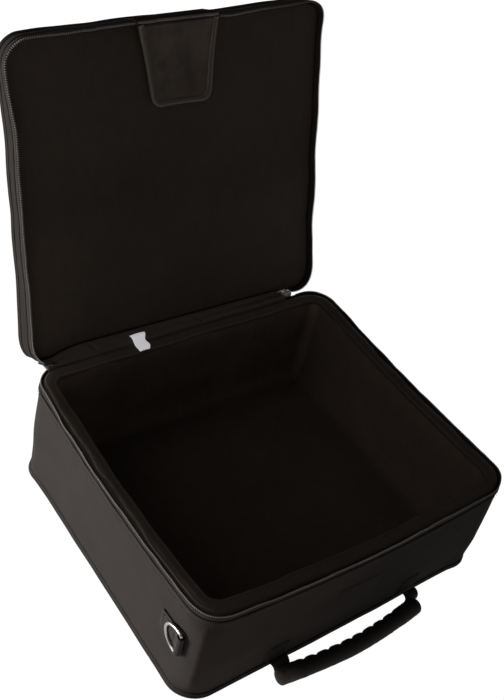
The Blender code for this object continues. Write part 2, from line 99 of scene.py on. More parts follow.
class Tree:
    """Adds shader nodes to a material in few words."""

    def __init__(self, name, colour, roughness, specular, metallic=0.0, sheen=0.0):
        self.material = bpy.data.materials.new(name)
        self.material.use_nodes = True
        self.nodes = self.material.node_tree.nodes
        self.links = self.material.node_tree.links
        self.shader = self.nodes["Principled BSDF"]
        self.colour = colour
        for socket, value in (("Roughness", roughness), ("Specular IOR Level", specular),
                              ("Metallic", metallic), ("Sheen Weight", sheen),
                              ("Sheen Roughness", 0.45)):
            self.shader.inputs[socket].default_value = value
        self.shader.inputs["Sheen Tint"].default_value = (0.75, 0.72, 0.70, 1.0)
        self.shader.inputs["Base Color"].default_value = (*colour, 1.0)
        self.height = None
        coords = self.nodes.new("ShaderNodeTexCoord")
        self.uv = coords.outputs["UV"]
        self.space = coords.outputs["Object"]

    def add(self, kind, inputs=(), output=0, **settings):
        node = self.nodes.new("ShaderNode" + kind)
        for key, value in settings.items():
            setattr(node, key, value)
        for key, value in dict(inputs).items():
            if isinstance(value, bpy.types.NodeSocket):
                self.links.new(value, node.inputs[key])
            else:
                node.inputs[key].default_value = value
        return node.outputs[output]

    def math(self, operation, a, b=0.0, c=0.0):
        return self.add("Math", {0: a, 1: b, 2: c}, operation=operation)

    def noise(self, size, detail=2.0, stretch=(1.0, 1.0, 1.0), lacunarity=2.0):
        """Noise from 0 to 1 whose patches are about that many mm across."""
        scale = [1.0 / (size * MM * s) for s in stretch]
        place = self.add("Mapping", {"Vector": self.space, "Scale": scale})
        return self.add("TexNoise", {"Vector": place, "Scale": 1.0, "Detail": detail,
                                     "Lacunarity": lacunarity})

    def steps(self, value, low, high, to_low=0.0, to_high=1.0):
        """A value mapped from one range to another, and clamped."""
        return self.add("MapRange", {"Value": value, "From Min": low, "From Max": high,
                                     "To Min": to_low, "To Max": to_high})

    def waves(self, pitch, along):
        """A sine from -1 to 1 along the mesh's own u (0) or v (1), with a pitch in mm."""
        value = self.add("SeparateXYZ", {0: self.uv}, output=along)
        return self.math("SINE", self.math("MULTIPLY", value, 2.0 * math.pi / pitch))

    def bump(self, height, strength, distance):
        """One more layer of relief, distance in mm."""
        inputs = {"Height": height, "Strength": strength, "Distance": distance * MM}
        if self.height is not None:
            inputs["Normal"] = self.height
        self.height = self.add("Bump", inputs)
        self.links.new(self.height, self.shader.inputs["Normal"])

    def shade(self, layers, tint=None):
        """The base colour, made lighter or darker by (factor, darkest, lightest) layers.
        tint is a factor and the colour that it adds."""
        colour = self.colour
        if tint:
            colour = self.add("VectorMath", {0: tint[1], 1: tint[0], 2: colour},
                              operation="MULTIPLY_ADD")
        total = None
        for factor, low, high in layers:
            level = factor if (low, high) == (0.0, 1.0) else self.steps(factor, 0.0, 1.0, low, high)
            total = level if total is None else self.math("MULTIPLY", total, level)
        mixed = self.add("VectorMath", {0: colour, "Scale": total}, operation="SCALE")
        self.links.new(mixed, self.shader.inputs["Base Color"])

    def facing(self, axis, low, high):
        """How far the surface faces along an axis of the model, as 0 to 1."""
        normal = self.add("NewGeometry", output="Normal")
        share = self.add("VectorMath", {0: normal, 1: axis}, operation="DOT_PRODUCT",
                         output="Value")
        return self.steps(share, low, high)

    def place(self, axis, start, end, at_start, at_end):
        """A level that changes between two places in mm along x (0), y (1) or z (2)."""
        value = self.add("SeparateXYZ", {0: self.space}, output=axis)
        return self.steps(value, start * MM, end * MM, at_start, at_end)

    def roughness(self, factor, low, high):
        self.links.new(self.steps(factor, 0.0, 1.0, low, high), self.shader.inputs["Roughness"])


def woven(name, colour, pitch, weave="plain", rough=0.85, specular=0.15, sheen=0.0, edge_wear_and_highlight=1.35,
          front=None, painted_facing=(), painted_spans=()):
    """Cloth with a thread pattern, mottled and paler along its edges, as wear and, where that is
    strong, as painted highlight. front is painted shade on the front-facing panel: away from its
    left end that panel is darkened to this share and made browner. Layers by facing, as (axis they
    face, shade), and slow changes by place, as (x, y or z, start, end, shade there, shade here),
    are painted light and shade."""
    tree = Tree(name, colour, rough, specular, sheen=sheen)
    across, along = tree.waves(pitch, 0), tree.waves(pitch, 1)
    if weave == "plain":
        thread = tree.math("MULTIPLY", across, along)
    elif weave == "twill":
        value = tree.math("ADD", *(tree.add("SeparateXYZ", {0: tree.uv}, output=i)
                                   for i in (0, 1)))
        thread = tree.math("SINE", tree.math("MULTIPLY", value, 2.0 * math.pi / pitch))
    else:
        thread = tree.math("ADD", across, tree.math("MULTIPLY", along, 0.25))
    thread = tree.steps(thread, -1.0, 1.0)
    fuzz = tree.noise(0.9, 4.0)
    cloud = tree.noise(26.0, 3.0)
    slub = tree.noise(2.4, 2.0, (6.0, 6.0, 0.5))
    edge = tree.add("NewGeometry", output="Pointiness")
    layers = [(thread, 0.72, 1.22), (fuzz, 0.62, 1.42), (cloud, 0.86, 1.14), (slub, 0.9, 1.1),
              (tree.steps(edge, 0.5, 0.58), 1.0, edge_wear_and_highlight)]
    # painted light and shade, by which way the surface faces and by place
    layers += [(tree.facing(axis, 0.0, 0.75), 1.0, level) for axis, level in painted_facing]
    layers += [(tree.place(*span), 0.0, 1.0) for span in painted_spans]
    tint = None
    # painted shade: the front-facing panel is darkened away from its left end and tinted browner
    if front:
        faces = tree.facing((0.0, -1.0, 0.0), 0.3, 0.8)
        change = tree.place(0, -130.0, 25.0, 0.0, front - 1.0)
        layers.append((tree.math("MULTIPLY_ADD", faces, change, 1.0), 0.0, 1.0))
        tint = faces, (0.0, -0.10 * colour[1], -0.2 * colour[2])
    tree.shade(layers, tint)
    tree.bump(fuzz, 0.5, 0.25)
    tree.bump(thread, 0.6, 0.22)
    tree.roughness(fuzz, rough - 0.12, min(1.0, rough + 0.1))
    return tree.material


def napped(name, colour, sheen, nap=7.0, painted_facing=(), painted_spans=()):
    """Brushed lining: short pile that lies in patches, with painted shade that makes it darker in
    concave places such as its seams. Layers by facing, as (axis they face, shade), and slow
    changes by place, as (x, y or z, start, end, shade there, shade here), are painted light and shade."""
    tree = Tree(name, colour, 0.95, 0.06, sheen=sheen)
    pile = tree.noise(0.5, 3.0)
    brushed = tree.noise(nap, 3.0, (1.0, 1.0, 2.5))
    broad = tree.noise(60.0, 2.0)
    edge = tree.add("NewGeometry", output="Pointiness")
    # painted shade: darker in concave places; then painted light and shade by facing and by place
    layers = [(pile, 0.6, 1.4), (brushed, 0.8, 1.2), (broad, 0.84, 1.16),
              (tree.steps(edge, 0.42, 0.5), 0.6, 1.0)]
    layers += [(tree.facing(axis, 0.0, 0.75), 1.0, level) for axis, level in painted_facing]
    layers += [(tree.place(*span), 0.0, 1.0) for span in painted_spans]
    tree.shade(layers)
    tree.bump(brushed, 0.25, 0.5)
    tree.bump(pile, 0.7, 0.3)
    return tree.material


def hide(name, colour, specular, edge_wear_and_highlight):
    """Imitation leather: fine cells, soft gloss, paler where it is bent."""
    tree = Tree(name, colour, 0.5, specular)
    place = tree.add("Mapping", {"Vector": tree.space, "Scale": [1.0 / (1.1 * MM)] * 3})
    cells = tree.add("TexVoronoi", {"Vector": place, "Scale": 1.0, "Randomness": 0.9})
    crease = tree.noise(3.2, 3.0)
    patch = tree.noise(17.0, 4.0)
    edge = tree.add("NewGeometry", output="Pointiness")
    tree.shade([(cells, 1.15, 0.8), (patch, 0.3, 1.75), (tree.steps(edge, 0.5, 0.57), 1.0, edge_wear_and_highlight)])
    tree.bump(crease, 0.3, 0.3)
    tree.bump(cells, 0.5, 0.16)
    tree.roughness(patch, 0.36, 0.62)
    return tree.material


def moulded(name, colour, rough, dust, specular, painted_light_from=None, painted_spans=()):
    """Moulded rubber or nylon with a fine matt texture and specks of dust. Beyond the given end place
    along x, in mm, it is painted paler in patches, as painted light; slow changes by place are
    painted light and shade as in woven."""
    tree = Tree(name, colour, rough, specular)
    grain = tree.noise(0.6, 3.0)
    smear = tree.noise(9.0, 3.0, (2.0, 1.0, 1.0))
    speck = tree.steps(tree.noise(1.6, 1.0), 0.68, 0.74)
    edge = tree.add("NewGeometry", output="Pointiness")
    layers = [(grain, 0.85, 1.15), (smear, 0.8, 1.25), (speck, 1.0, dust),
              (tree.steps(edge, 0.5, 0.6), 1.0, 1.3)]
    # painted light: the end beyond that place is painted paler in patches
    if painted_light_from is not None:
        painted_end_light = tree.place(0, painted_light_from, painted_light_from + 16.0, 1.0, 0.0)
        layers.append((tree.math("MULTIPLY", painted_end_light, tree.noise(4.0, 3.0)), 1.0, 4.5))
    layers += [(tree.place(*span), 0.0, 1.0) for span in painted_spans]
    tree.shade(layers)
    tree.bump(grain, 0.4, 0.12)
    tree.roughness(smear, rough - 0.1, rough + 0.14)
    return tree.material


def plated(name, colour):
    """Nickel plate with fine scratches and dull patches."""
    tree = Tree(name, colour, 0.25, 0.5, metallic=1.0)
    scratch = tree.noise(0.5, 2.0, (1.0, 1.0, 14.0))
    dull = tree.noise(3.0, 3.0)
    tree.shade([(dull, 0.78, 1.1), (scratch, 0.94, 1.06)])
    tree.bump(scratch, 0.25, 0.04)
    tree.roughness(dull, 0.16, 0.4)
    return tree.material


def looped(name, colour):
    """Hook and loop tape: a dense field of small loops."""
    tree = Tree(name, colour, 1.0, 0.03)
    place = tree.add("Mapping", {"Vector": tree.space, "Scale": [1.0 / (0.9 * MM)] * 3})
    loops = tree.add("TexVoronoi", {"Vector": place, "Scale": 1.0})
    clump = tree.noise(5.0, 2.0)
    tree.shade([(loops, 1.5, 0.5), (clump, 0.8, 1.2)])
    tree.bump(loops, 0.9, 0.6)
    return tree.material


def foamed(name, colour):
    """Closed-cell foam or plain board, seen only where the cloth is off."""
    tree = Tree(name, colour, 0.95, 0.1)
    cells = tree.noise(0.8, 2.0)
    tree.shade([(cells, 0.85, 1.15), (tree.noise(30.0, 2.0), 0.92, 1.08)])
    tree.bump(cells, 0.5, 0.2)
    return tree.material


LOOK = {
    # painted shade: the outer cloth's front panel is darkened and browned away from its left end
    "outer_fabric": woven("outer_cloth", (0.0212, 0.0184, 0.0172), 1.15, "plain", 0.92, 0.02,
                          front=0.44),
    # painted shade: a darker copy of the outer cloth for the lid's side
    "lid_cloth_shaded": woven("lid_cloth_shaded", (0.0140, 0.0122, 0.0114), 1.15, "plain", 0.92, 0.02),
    # painted light: the lid lining is painted lighter towards its lower edge and at its left side
    "lining_fabric": napped("lining_cloth", (0.0230, 0.0176, 0.0138), 0.03, painted_spans=(
        (2, 110.0, 240.0, 1.75, 1.0), (0, -150.0, -60.0, 1.15, 1.0))),
    # painted light: the tub is a paler copy of the lining cloth; its floor is painted darker, its back and right walls
    # lighter, and it is painted lighter towards its left and right ends
    "tub": napped("tub_lining_painted_light", (0.0400, 0.0292, 0.0228), 0.02, painted_facing=(
        ((0.0, 0.0, 1.0), 0.74), ((0.0, -1.0, 0.0), 1.9), ((-1.0, 0.0, 0.0), 1.15)),
        painted_spans=((0, -135.0, -75.0, 1.5, 1.0), (0, 10.0, 140.0, 1.0, 1.35))),
    # painted light: the rim is painted lighter along the back and at its left end
    "rim": woven("rim_cloth", (0.0345, 0.0278, 0.0232), 0.8, "twill", 0.95, 0.04, painted_spans=(
        (1, 105.0, 128.0, 1.0, 1.5), (0, -152.0, -85.0, 1.3, 1.0))),
    "foam": foamed("foam", (0.30, 0.30, 0.31)),
    "stiffener": foamed("board", (0.12, 0.12, 0.12)),
    "piping": woven("binding", (0.0165, 0.0140, 0.0128), 1.3, "rib", 0.85, 0.06),
    # painted light: the hinge cloth has a paler colour so that it looks lit in its shaded gap; where it faces the back
    # it is painted darker again
    "strip": woven("hinge_cloth", (0.0550, 0.0455, 0.0385), 1.0, "twill", 0.9, 0.05, painted_facing=(
        ((0.0, 1.0, 0.0), 0.42),)),
    "zip_tape": woven("tape", (0.0190, 0.0160, 0.0142), 1.0, "twill", 0.92, 0.04),
    # painted shade: the coil is painted darker towards its right end
    "zip_teeth": moulded("coil", (0.100, 0.094, 0.090), 0.6, 1.4, 0.12,
                         painted_spans=((0, 40.0, 140.0, 1.0, 0.35),)),
    "webbing": woven("webbing", (0.0205, 0.0180, 0.0166), 1.7, "rib", 0.85, 0.08),
    # painted shade: the loop tape is as dark and brown as the front panel's painted shade
    "hook_and_loop": looped("hook_and_loop", (0.0118, 0.0098, 0.0084)),
    "leatherette": hide("leatherette", (0.0325, 0.0250, 0.0197), 0.04, 1.5),
    # the flap's binding is much paler along its edges, as wear and painted highlight
    "flap_rib": woven("flap_binding", (0.0370, 0.0315, 0.0270), 1.3, "rib", 0.85, 0.06,
                      edge_wear_and_highlight=2.4),
    # painted highlight: a paler, glossier copy of the leatherette for the roll along the flap's fold
    "fold_highlight_hide": hide("fold_leatherette_highlight", (0.050, 0.043, 0.038), 0.2, 1.4),
    # painted shade: a darker copy of the leatherette for the handle's anchor patches and the flap's root
    "shaded_hide": hide("shaded_leatherette", (0.0165, 0.0140, 0.0126), 0.0, 1.1),
    # painted light: the grip's left end is painted paler in patches
    "grip_rubber": moulded("rubber", (0.0165, 0.0140, 0.0128), 0.7, 1.9, 0.06,
                           painted_light_from=-76.0),
    "nickel": plated("nickel", (0.36, 0.352, 0.342)),
    "enamel": moulded("slider_enamel", (0.34, 0.325, 0.31), 0.45, 1.15, 0.3),
    "label_cloth": woven("label", (0.88, 0.87, 0.90), 0.5, "plain", 0.7, 0.3, edge_wear_and_highlight=1.0),
    "thread": woven("thread", (0.0185, 0.0165, 0.0155), 0.7, "rib", 0.8, 0.1),
}

# painted light: the label glows a little, so that it looks as bright as if lit
satin = LOOK["label_cloth"].node_tree.nodes["Principled BSDF"]
satin.inputs["Emission Color"].default_value = (1.0, 0.98, 0.99, 1.0)
satin.inputs["Emission Strength"].default_value = 0.33

for subpart in frame["record"]["subparts"]:
    node = frame["nodes"][subpart["node"]]
    node.data.materials.clear()
    node.data.materials.append(LOOK[subpart["material_slot"]])


# ---- shaping tools ----

def smooth(value, low, high):
    t = np.clip((value - low) / (high - low), 0.0, 1.0)
    return t * t * (3.0 - 2.0 * t)


def ripple(points, size, seed):
    """Smooth noise from about -1 to 1 at points in mm."""
    scaled = np.asarray(points, float) / np.asarray(size, float) + 17.3 * seed
    return np.array([noise.noise(Vector(p)) for p in scaled.reshape(-1, 3)]) \
        .reshape(scaled.shape[:-1])


def ripple_along(values, size, seed):
    """The same along one line of distances in mm."""
    points = np.zeros((len(values), 3))
    points[:, 0] = values
    return ripple(points, size, seed)


def spline(points, step):
    """Points about a step apart on a smooth line through the given ones."""
    p = np.asarray(points, float)
    ends = np.vstack([2 * p[0] - p[1], p, 2 * p[-1] - p[-2]])
    fine = []
    for a, b, c, d in zip(ends, ends[1:], ends[2:], ends[3:]):
        t = np.linspace(0.0, 1.0, 24, endpoint=False)[:, None]
        fine.append(0.5 * (2 * b + (c - a) * t + (2 * a - 5 * b + 4 * c - d) * t * t
                           + (3 * b - a - 3 * c + d) * t ** 3))
    fine = np.vstack([*fine, p[-1:]])
    far = np.concatenate([[0.0], np.cumsum(np.linalg.norm(np.diff(fine, axis=0), axis=1))])
    at = np.linspace(0.0, far[-1], max(2, round(far[-1] / step) + 1))
    return np.stack([np.interp(at, far, fine[:, i]) for i in range(p.shape[1])], axis=1)


def distances(points, closed=False):
    steps = np.linalg.norm(np.diff(points, axis=0), axis=1)
    if closed:
        steps = np.append(steps, np.linalg.norm(points[0] - points[-1]))
    return np.concatenate([[0.0], np.cumsum(steps)])


class Walk:
    """Points round a rounded rectangle from the middle of its back, and their outward normals."""

    def __init__(self, size, mid_y=0.0, step=2.5):
        width, length, radius = size
        half_x, half_y = width / 2 - radius, length / 2 - radius
        places, outward = [], []

        def line(start, end, normal):
            count = max(1, round(math.dist(start, end) / step))
            for i in range(count):
                places.append([a + (b - a) * i / count for a, b in zip(start, end)])
                outward.append(normal)

        def corner(centre, first):
            count = max(4, round(radius * math.pi / 2 / step * 1.3))
            for i in range(count):
                a = math.radians(first + 90.0 * i / count)
                outward.append((math.cos(a), math.sin(a)))
                places.append([c + radius * n for c, n in zip(centre, outward[-1])])

        line((0.0, length / 2), (-half_x, length / 2), (0.0, 1.0))
        corner((-half_x, half_y), 90.0)
        line((-width / 2, half_y), (-width / 2, -half_y), (-1.0, 0.0))
        corner((-half_x, -half_y), 180.0)
        line((-half_x, -length / 2), (half_x, -length / 2), (0.0, -1.0))
        corner((half_x, -half_y), 270.0)
        line((width / 2, -half_y), (width / 2, half_y), (1.0, 0.0))
        corner((half_x, half_y), 0.0)
        line((half_x, length / 2), (0.0, length / 2), (0.0, 1.0))
        self.p = np.array(places) + (0.0, mid_y)
        self.n = np.array(outward)
        self.mid = np.array([0.0, mid_y])
        self.s = distances(self.p, True)[:-1]

    def without_hinge(self, left, right):
        """The same, open at the back between two places along x."""
        part = Walk.__new__(Walk)
        keep = (self.p[:, 1] < self.p[:, 1].max() - 1e-6) | (self.p[:, 0] <= left) \
            | (self.p[:, 0] >= right)
        part.p, part.n, part.s, part.mid = self.p[keep], self.n[keep], self.s[keep], self.mid
        return part

    def offset(self, out, z):
        """3D points at a distance outside the outline; out and z are per point or columns."""
        out, z = np.broadcast_arrays(np.asarray(out, float), np.asarray(z, float))
        grid = np.empty((*out.shape, 3))
        places = self.p[:, None, :] if out.ndim == 2 else self.p
        normals = self.n[:, None, :] if out.ndim == 2 else self.n
        grid[..., :2] = places + normals * out[..., None]
        grid[..., 2] = z
        return grid


def finish_mesh(name, points, faces, corner_uvs, material, body, replaces=(), sharp=None):
    """A closed mesh from points in mm, with its own texture coordinates in mm."""
    mesh = bpy.data.meshes.new(name)
    mesh.from_pydata((np.asarray(points) * MM).tolist(), [], [list(map(int, f)) for f in faces])
    if corner_uvs is not None:
        layer = mesh.uv_layers.new(name="UVMap")
        layer.data.foreach_set("uv", np.asarray(corner_uvs, np.float32).ravel())
    work = bmesh.new()
    work.from_mesh(mesh)
    bmesh.ops.recalc_face_normals(work, faces=work.faces)
    work.to_mesh(mesh)
    work.free()
    mesh.shade_smooth()
    if sharp:
        mesh.set_sharp_from_angle(angle=math.radians(sharp))
    mesh.materials.append(LOOK[material])
    obj = bpy.data.objects.new(name, mesh)
    bpy.context.scene.collection.objects.link(obj)
    if body:
        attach(obj, body)
    if replaces:
        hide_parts(*replaces)
    return obj


def lattice(rows, cols, closed_rows, closed_cols):
    """Faces of a grid of points, and each face corner's row and column before wrapping."""
    r, c = np.meshgrid(np.arange(rows if closed_rows else rows - 1),
                       np.arange(cols if closed_cols else cols - 1), indexing="ij")
    r, c = r.ravel(), c.ravel()
    corners = ((r, c), (r + 1, c), (r + 1, c + 1), (r, c + 1))
    faces = np.stack([(a % rows) * cols + b % cols for a, b in corners], axis=1)
    return faces, np.stack([np.stack(pair, axis=1) for pair in corners], axis=1)


def loft(name, grid, material, body=None, closed_rows=False, replaces=(), sharp=None):
    """A closed skin over rows of closed loops of points; open rows get a cap at each end."""
    rows, cols = grid.shape[:2]
    faces, places = lattice(rows, cols, closed_rows, True)
    u = distances(grid[:, 0], closed_rows)
    if len(u) == rows:
        u = np.append(u, u[-1])
    v = distances(grid[rows // 2], True)
    uvs = np.stack([u[places[..., 0]], v[places[..., 1]]], axis=-1).reshape(-1, 2)
    faces = faces.tolist()
    if not closed_rows:
        faces += [list(range(cols)), list(range((rows - 1) * cols, rows * cols))]
        uvs = np.vstack([uvs, grid[0, :, :2], grid[-1, :, :2]])
    return finish_mesh(name, grid.reshape(-1, 3), faces, uvs, material, body, replaces, sharp)


def disc(name, walk, rings, material, body, shape, replaces=()):
    """A closed plate or tub. Each ring is (inset from the outline, share of what is left, height);
    shape moves the points of the grid."""
    insets, shares, heights = (np.array(column, float) for column in zip(*rings))
    grid = walk.offset(np.broadcast_to(-insets, (len(walk.p), len(rings))), heights)
    grid[..., :2] = walk.mid + (grid[..., :2] - walk.mid) * shares[None, :, None]
    grid = shape(grid)
    rows, cols = grid.shape[:2]
    faces, places = lattice(rows, cols, True, False)
    points = grid.reshape(-1, 3)
    u = np.append(walk.s, walk.s[-1] + 2.5)
    v = distances(grid[0])
    uvs = [np.stack([u[places[..., 0]], v[places[..., 1]]], axis=-1).reshape(-1, 2)]
    flat = shares[faces % cols].min(axis=1) < 1.0
    uvs[0][np.repeat(flat, 4)] = points[faces[flat].ravel()][:, :2]
    faces = faces.tolist()
    for col in (0, cols - 1):
        middle = grid[:, col].mean(axis=0)
        points = np.vstack([points, middle])
        last = len(points) - 1
        fan = [[r * cols + col, (r + 1) % rows * cols + col, last] for r in range(rows)]
        faces += fan
        uvs.append(points[np.ravel(fan)][:, :2])
    return finish_mesh(name, points, faces, np.vstack(uvs), material, body, replaces)


def around(centres, across, up, section):
    """Rows of loops: a section, in (across, up), set on each centre."""
    section = np.broadcast_to(section, (len(centres), *np.shape(section)[-2:]))
    return (centres[:, None] + across[:, None] * section[..., :1] + up[:, None] * section[..., 1:])


def circle(radius, count=12):
    a = np.linspace(0.0, 2.0 * math.pi, count, endpoint=False)
    return np.stack([np.cos(a), np.sin(a)], axis=1) * radius


def flat_section(left, right, thick, count, shape=0.0):
    """A flat band from left to right; shape lifts its middle."""
    x = np.linspace(left, right, count)
    lift = shape * (1.0 - ((x - (left + right) / 2) / ((right - left) / 2)) ** 2)
    half = thick / 2
    edge = (right - left) / count * 0.4
    top = np.stack([x, lift + half], axis=1)
    low = np.stack([x[::-1], lift[::-1] - half], axis=1)
    return np.vstack([top, [[right + edge, 0.0]], low, [[left - edge, 0.0]]])


BEAD = np.array([[0.0, 0.0, 1.0]]
                + [[math.cos(a) * w, math.sin(a) * w, h] for w, h in ((0.8, 0.62), (1.0, 0.0))
                   for a in np.arange(6) * math.pi / 3]
                + [[0.0, 0.0, -0.4]])
BEAD_FACES = ([[0, 1 + i, 1 + (i + 1) % 6] for i in range(6)]
              + [[1 + i, 7 + i, 7 + (i + 1) % 6, 1 + (i + 1) % 6] for i in range(6)]
              + [[13, 7 + (i + 1) % 6, 7 + i] for i in range(6)])


def beads(name, places, forward, up, size, material, body, replaces=()):
    """Many small rounded studs in one mesh: stitches, or the teeth of a zip."""
    forward = forward / np.linalg.norm(forward, axis=1, keepdims=True)
    side = np.cross(up, forward)
    side /= np.linalg.norm(side, axis=1, keepdims=True)
    lift = np.cross(forward, side)
    points = (places[:, None] + forward[:, None] * BEAD[None, :, :1] * size[0] / 2
              + side[:, None] * BEAD[None, :, 1:2] * size[1] / 2
              + lift[:, None] * BEAD[None, :, 2:] * size[2])
    faces = [[i * len(BEAD) + v for v in f] for i in range(len(places)) for f in BEAD_FACES]
    spots = points.reshape(-1, 3)
    uvs = np.concatenate([spots[f][:, :2] for f in faces])
    return finish_mesh(name, spots, faces, uvs, material, body, replaces)


def along(line, pitch, closed=False):
    """Evenly spaced places on a line, with the direction of the line there."""
    full = np.vstack([line, line[:1]]) if closed else line
    far = distances(full)
    count = int(far[-1] // pitch)
    at = (np.arange(count) + 0.5) * far[-1] / count
    places = np.stack([np.interp(at, far, full[:, i]) for i in range(3)], axis=1)
    ahead = np.stack([np.interp(at + 0.4, far, full[:, i]) for i in range(3)], axis=1)
    behind = np.stack([np.interp(at - 0.4, far, full[:, i]) for i in range(3)], axis=1)
    return places, ahead - behind


def stitches(name, line, up, body, pitch=4.0, closed=False, size=(2.9, 0.9, 0.45)):
    places, forward = along(line, pitch, closed)
    up = np.broadcast_to(np.asarray(up, float), places.shape) if np.ndim(up) == 1 else \
        along_normals(line, up, pitch, closed)
    return beads(name, places, forward, up, size, "thread", body)


def along_normals(line, normals, pitch, closed):
    full = np.vstack([line, line[:1]]) if closed else line
    more = np.vstack([normals, normals[:1]]) if closed else normals
    far = distances(full)
    count = int(far[-1] // pitch)
    at = (np.arange(count) + 0.5) * far[-1] / count
    return np.stack([np.interp(at, far, more[:, i]) for i in range(3)], axis=1)


# ---- how the soft walls give ----

BOW_FRONT = 6.0
BOW_LEFT = 4.5
BOW_RIGHT = -2.4
CREASE = 4.5


def bow(points):
    """The walls lean out between their corners, most at the rim."""
    p = np.array(points, float)
    x, y, z = p[..., 0], p[..., 1], p[..., 2]
    rise = np.clip(z / RIM_TOP, 0.0, 1.05) ** 1.6
    span_x = np.clip(1.0 - (x / 142.0) ** 2, 0.0, 1.0)
    span_y = np.clip(1.0 - (y / 126.0) ** 2, 0.0, 1.0)
    p[..., 1] -= BOW_FRONT * span_x * rise * smooth(-y, 60.0, 118.0)
    p[..., 0] -= BOW_LEFT * span_y * rise * smooth(-x, 70.0, 135.0)
    p[..., 0] += BOW_RIGHT * span_y * rise * smooth(x, 70.0, 135.0)
    low = np.clip(1.0 - z / 40.0, 0.0, 1.0)
    p[..., 0] += 2.4 * (1.0 - 0.45 * rise) * smooth(x, 120.0, 155.0) * smooth(-y, 40.0, 130.0)
    p[..., 0] -= smooth(-x, 120.0, 155.0) * (2.2 * smooth(y, 90.0, 140.0)
                                             + 1.8 * low * smooth(y, 112.0, 140.0)) \
        * (1.0 - 0.5 * rise)
    p[..., 0] -= 0.8 * low * smooth(-x, 120.0, 155.0)
    p[..., 1] += (0.8 + 0.7 * smooth(x, -40.0, 20.0)) * low * smooth(-y, 90.0, 135.0)
    p[..., 1] += 2.4 * smooth(x, 30.0, 120.0) * (1.0 - smooth(x, 128.0, 152.0)) \
        * smooth(-y, 90.0, 135.0) * np.clip(1 - z / 70.0, 0, 1)
    return p


def open_lid(points):
    """From the closed lid to where it stands open."""
    p = np.array(points, float)
    turn = math.radians(-LID_OPEN)
    y, z = p[..., 1] - HINGE[0], p[..., 2] - HINGE[1]
    p[..., 1] = HINGE[0] + y * math.cos(turn) - z * math.sin(turn)
    p[..., 2] = HINGE[1] + y * math.sin(turn) + z * math.cos(turn)
    return p


LID_CORNER_PUSH = (                  # corner, how far it is pushed out along x and y
    ((153.0, -140.0), (6.4, -2.6)),
    ((-153.0, -140.0), (1.8, 1.2)),
    ((-153.0, 134.0), (-3.0, 7.0)),
    ((153.0, 134.0), (2.6, 2.2)),
)


def lid_bow(points):
    """The lid's edge is slack: its sides wave in and out, and its corners differ."""
    p = np.array(points, float)
    x, y, z = p[..., 0].copy(), p[..., 1].copy(), p[..., 2]
    deep = smooth(z, 120.0, 146.0)
    wave = np.zeros((*x.shape, 3))
    wave[..., 0] = y
    slack = ripple(wave, 42.0, 3) * smooth(np.abs(x), 110.0, 150.0)
    p[..., 0] += 2.2 * slack * np.sign(x)
    p[..., 0] += (0.4 + 2.6 * deep) * smooth(-x, 90.0, 150.0) \
        * np.clip(1.0 - ((y + 8.0) / 128.0) ** 2, 0.0, 1.0)
    wave[..., 0] = x
    front = smooth(-y, 100.0, 134.0)
    p[..., 1] += 1.3 * ripple(wave, 60.0, 5) * front + 1.4 * deep * front
    p[..., 1] += (1.6 + 4.4 * (x + 140.0) / 240.0
                  + 2.2 * np.exp(-((x + 138.0) / 18.0) ** 2)) * smooth(y, 96.0, 132.0)
    right, left = smooth(x, 90.0, 150.0), smooth(-x, 90.0, 150.0)
    p[..., 0] += right * (1.8 * np.exp(-((y + 56.0) / 30.0) ** 2)
                          - 1.0 * np.exp(-((y + 2.0) / 26.0) ** 2)
                          + 0.9 * np.exp(-((y + 108.0) / 16.0) ** 2))
    p[..., 0] += left * (1.3 * np.exp(-((y + 88.0) / 18.0) ** 2)
                         - 1.6 * np.exp(-((y - 68.0) / 22.0) ** 2))
    p[..., 0] -= 4.2 * left * (1.0 - deep) * smooth(-y, 60.0, 122.0)
    p[..., 1] += front * (0.8 * np.exp(-((x - 55.0) / 45.0) ** 2)
                          - 1.1 * np.exp(-((x + 42.0) / 30.0) ** 2))
    for (cx, cy), (push_x, push_y) in LID_CORNER_PUSH:
        near = np.exp(-((x - cx) ** 2 + (y - cy) ** 2) / (2.0 * 15.0 ** 2))
        p[..., 0] += push_x * near
        p[..., 1] += push_y * near * (1.0 + 0.5 * deep * (cy > 0.0))
    return p


base_walk = Walk(BASE)
lid_walk = Walk(LID, LID_MID_Y)


# ---- base ----

def band(name, walk, profile, material, body, shape, closed=True, give=None, replaces=()):
    """A closed profile of (outward, height) points swept along an outline. give(s, profile)
    returns what to add to the profile at every point of the outline."""
    profile = np.asarray(profile, float)
    full = np.broadcast_to(profile, (len(walk.p), *profile.shape)).copy()
    if give is not None:
        full += give(walk.s, profile)
    grid = walk.offset(full[..., 0], full[..., 1])
    return loft(name, shape(grid), material, body, closed_rows=closed, replaces=replaces)


def skin(outer, thick):
    """A cloth profile: its outer face from low to high, and an inner face behind it."""
    outer = np.asarray(outer, float)
    way = np.gradient(outer, axis=0)
    normal = np.stack([way[:, 1], -way[:, 0]], axis=1)
    normal /= np.linalg.norm(normal, axis=1, keepdims=True)
    return np.vstack([outer, (outer - normal * thick)[::-1]])


def drift(s, size, seed, power):
    """A slow wander along an outline, as one column."""
    return ripple_along(s, size, seed)[:, None] * power


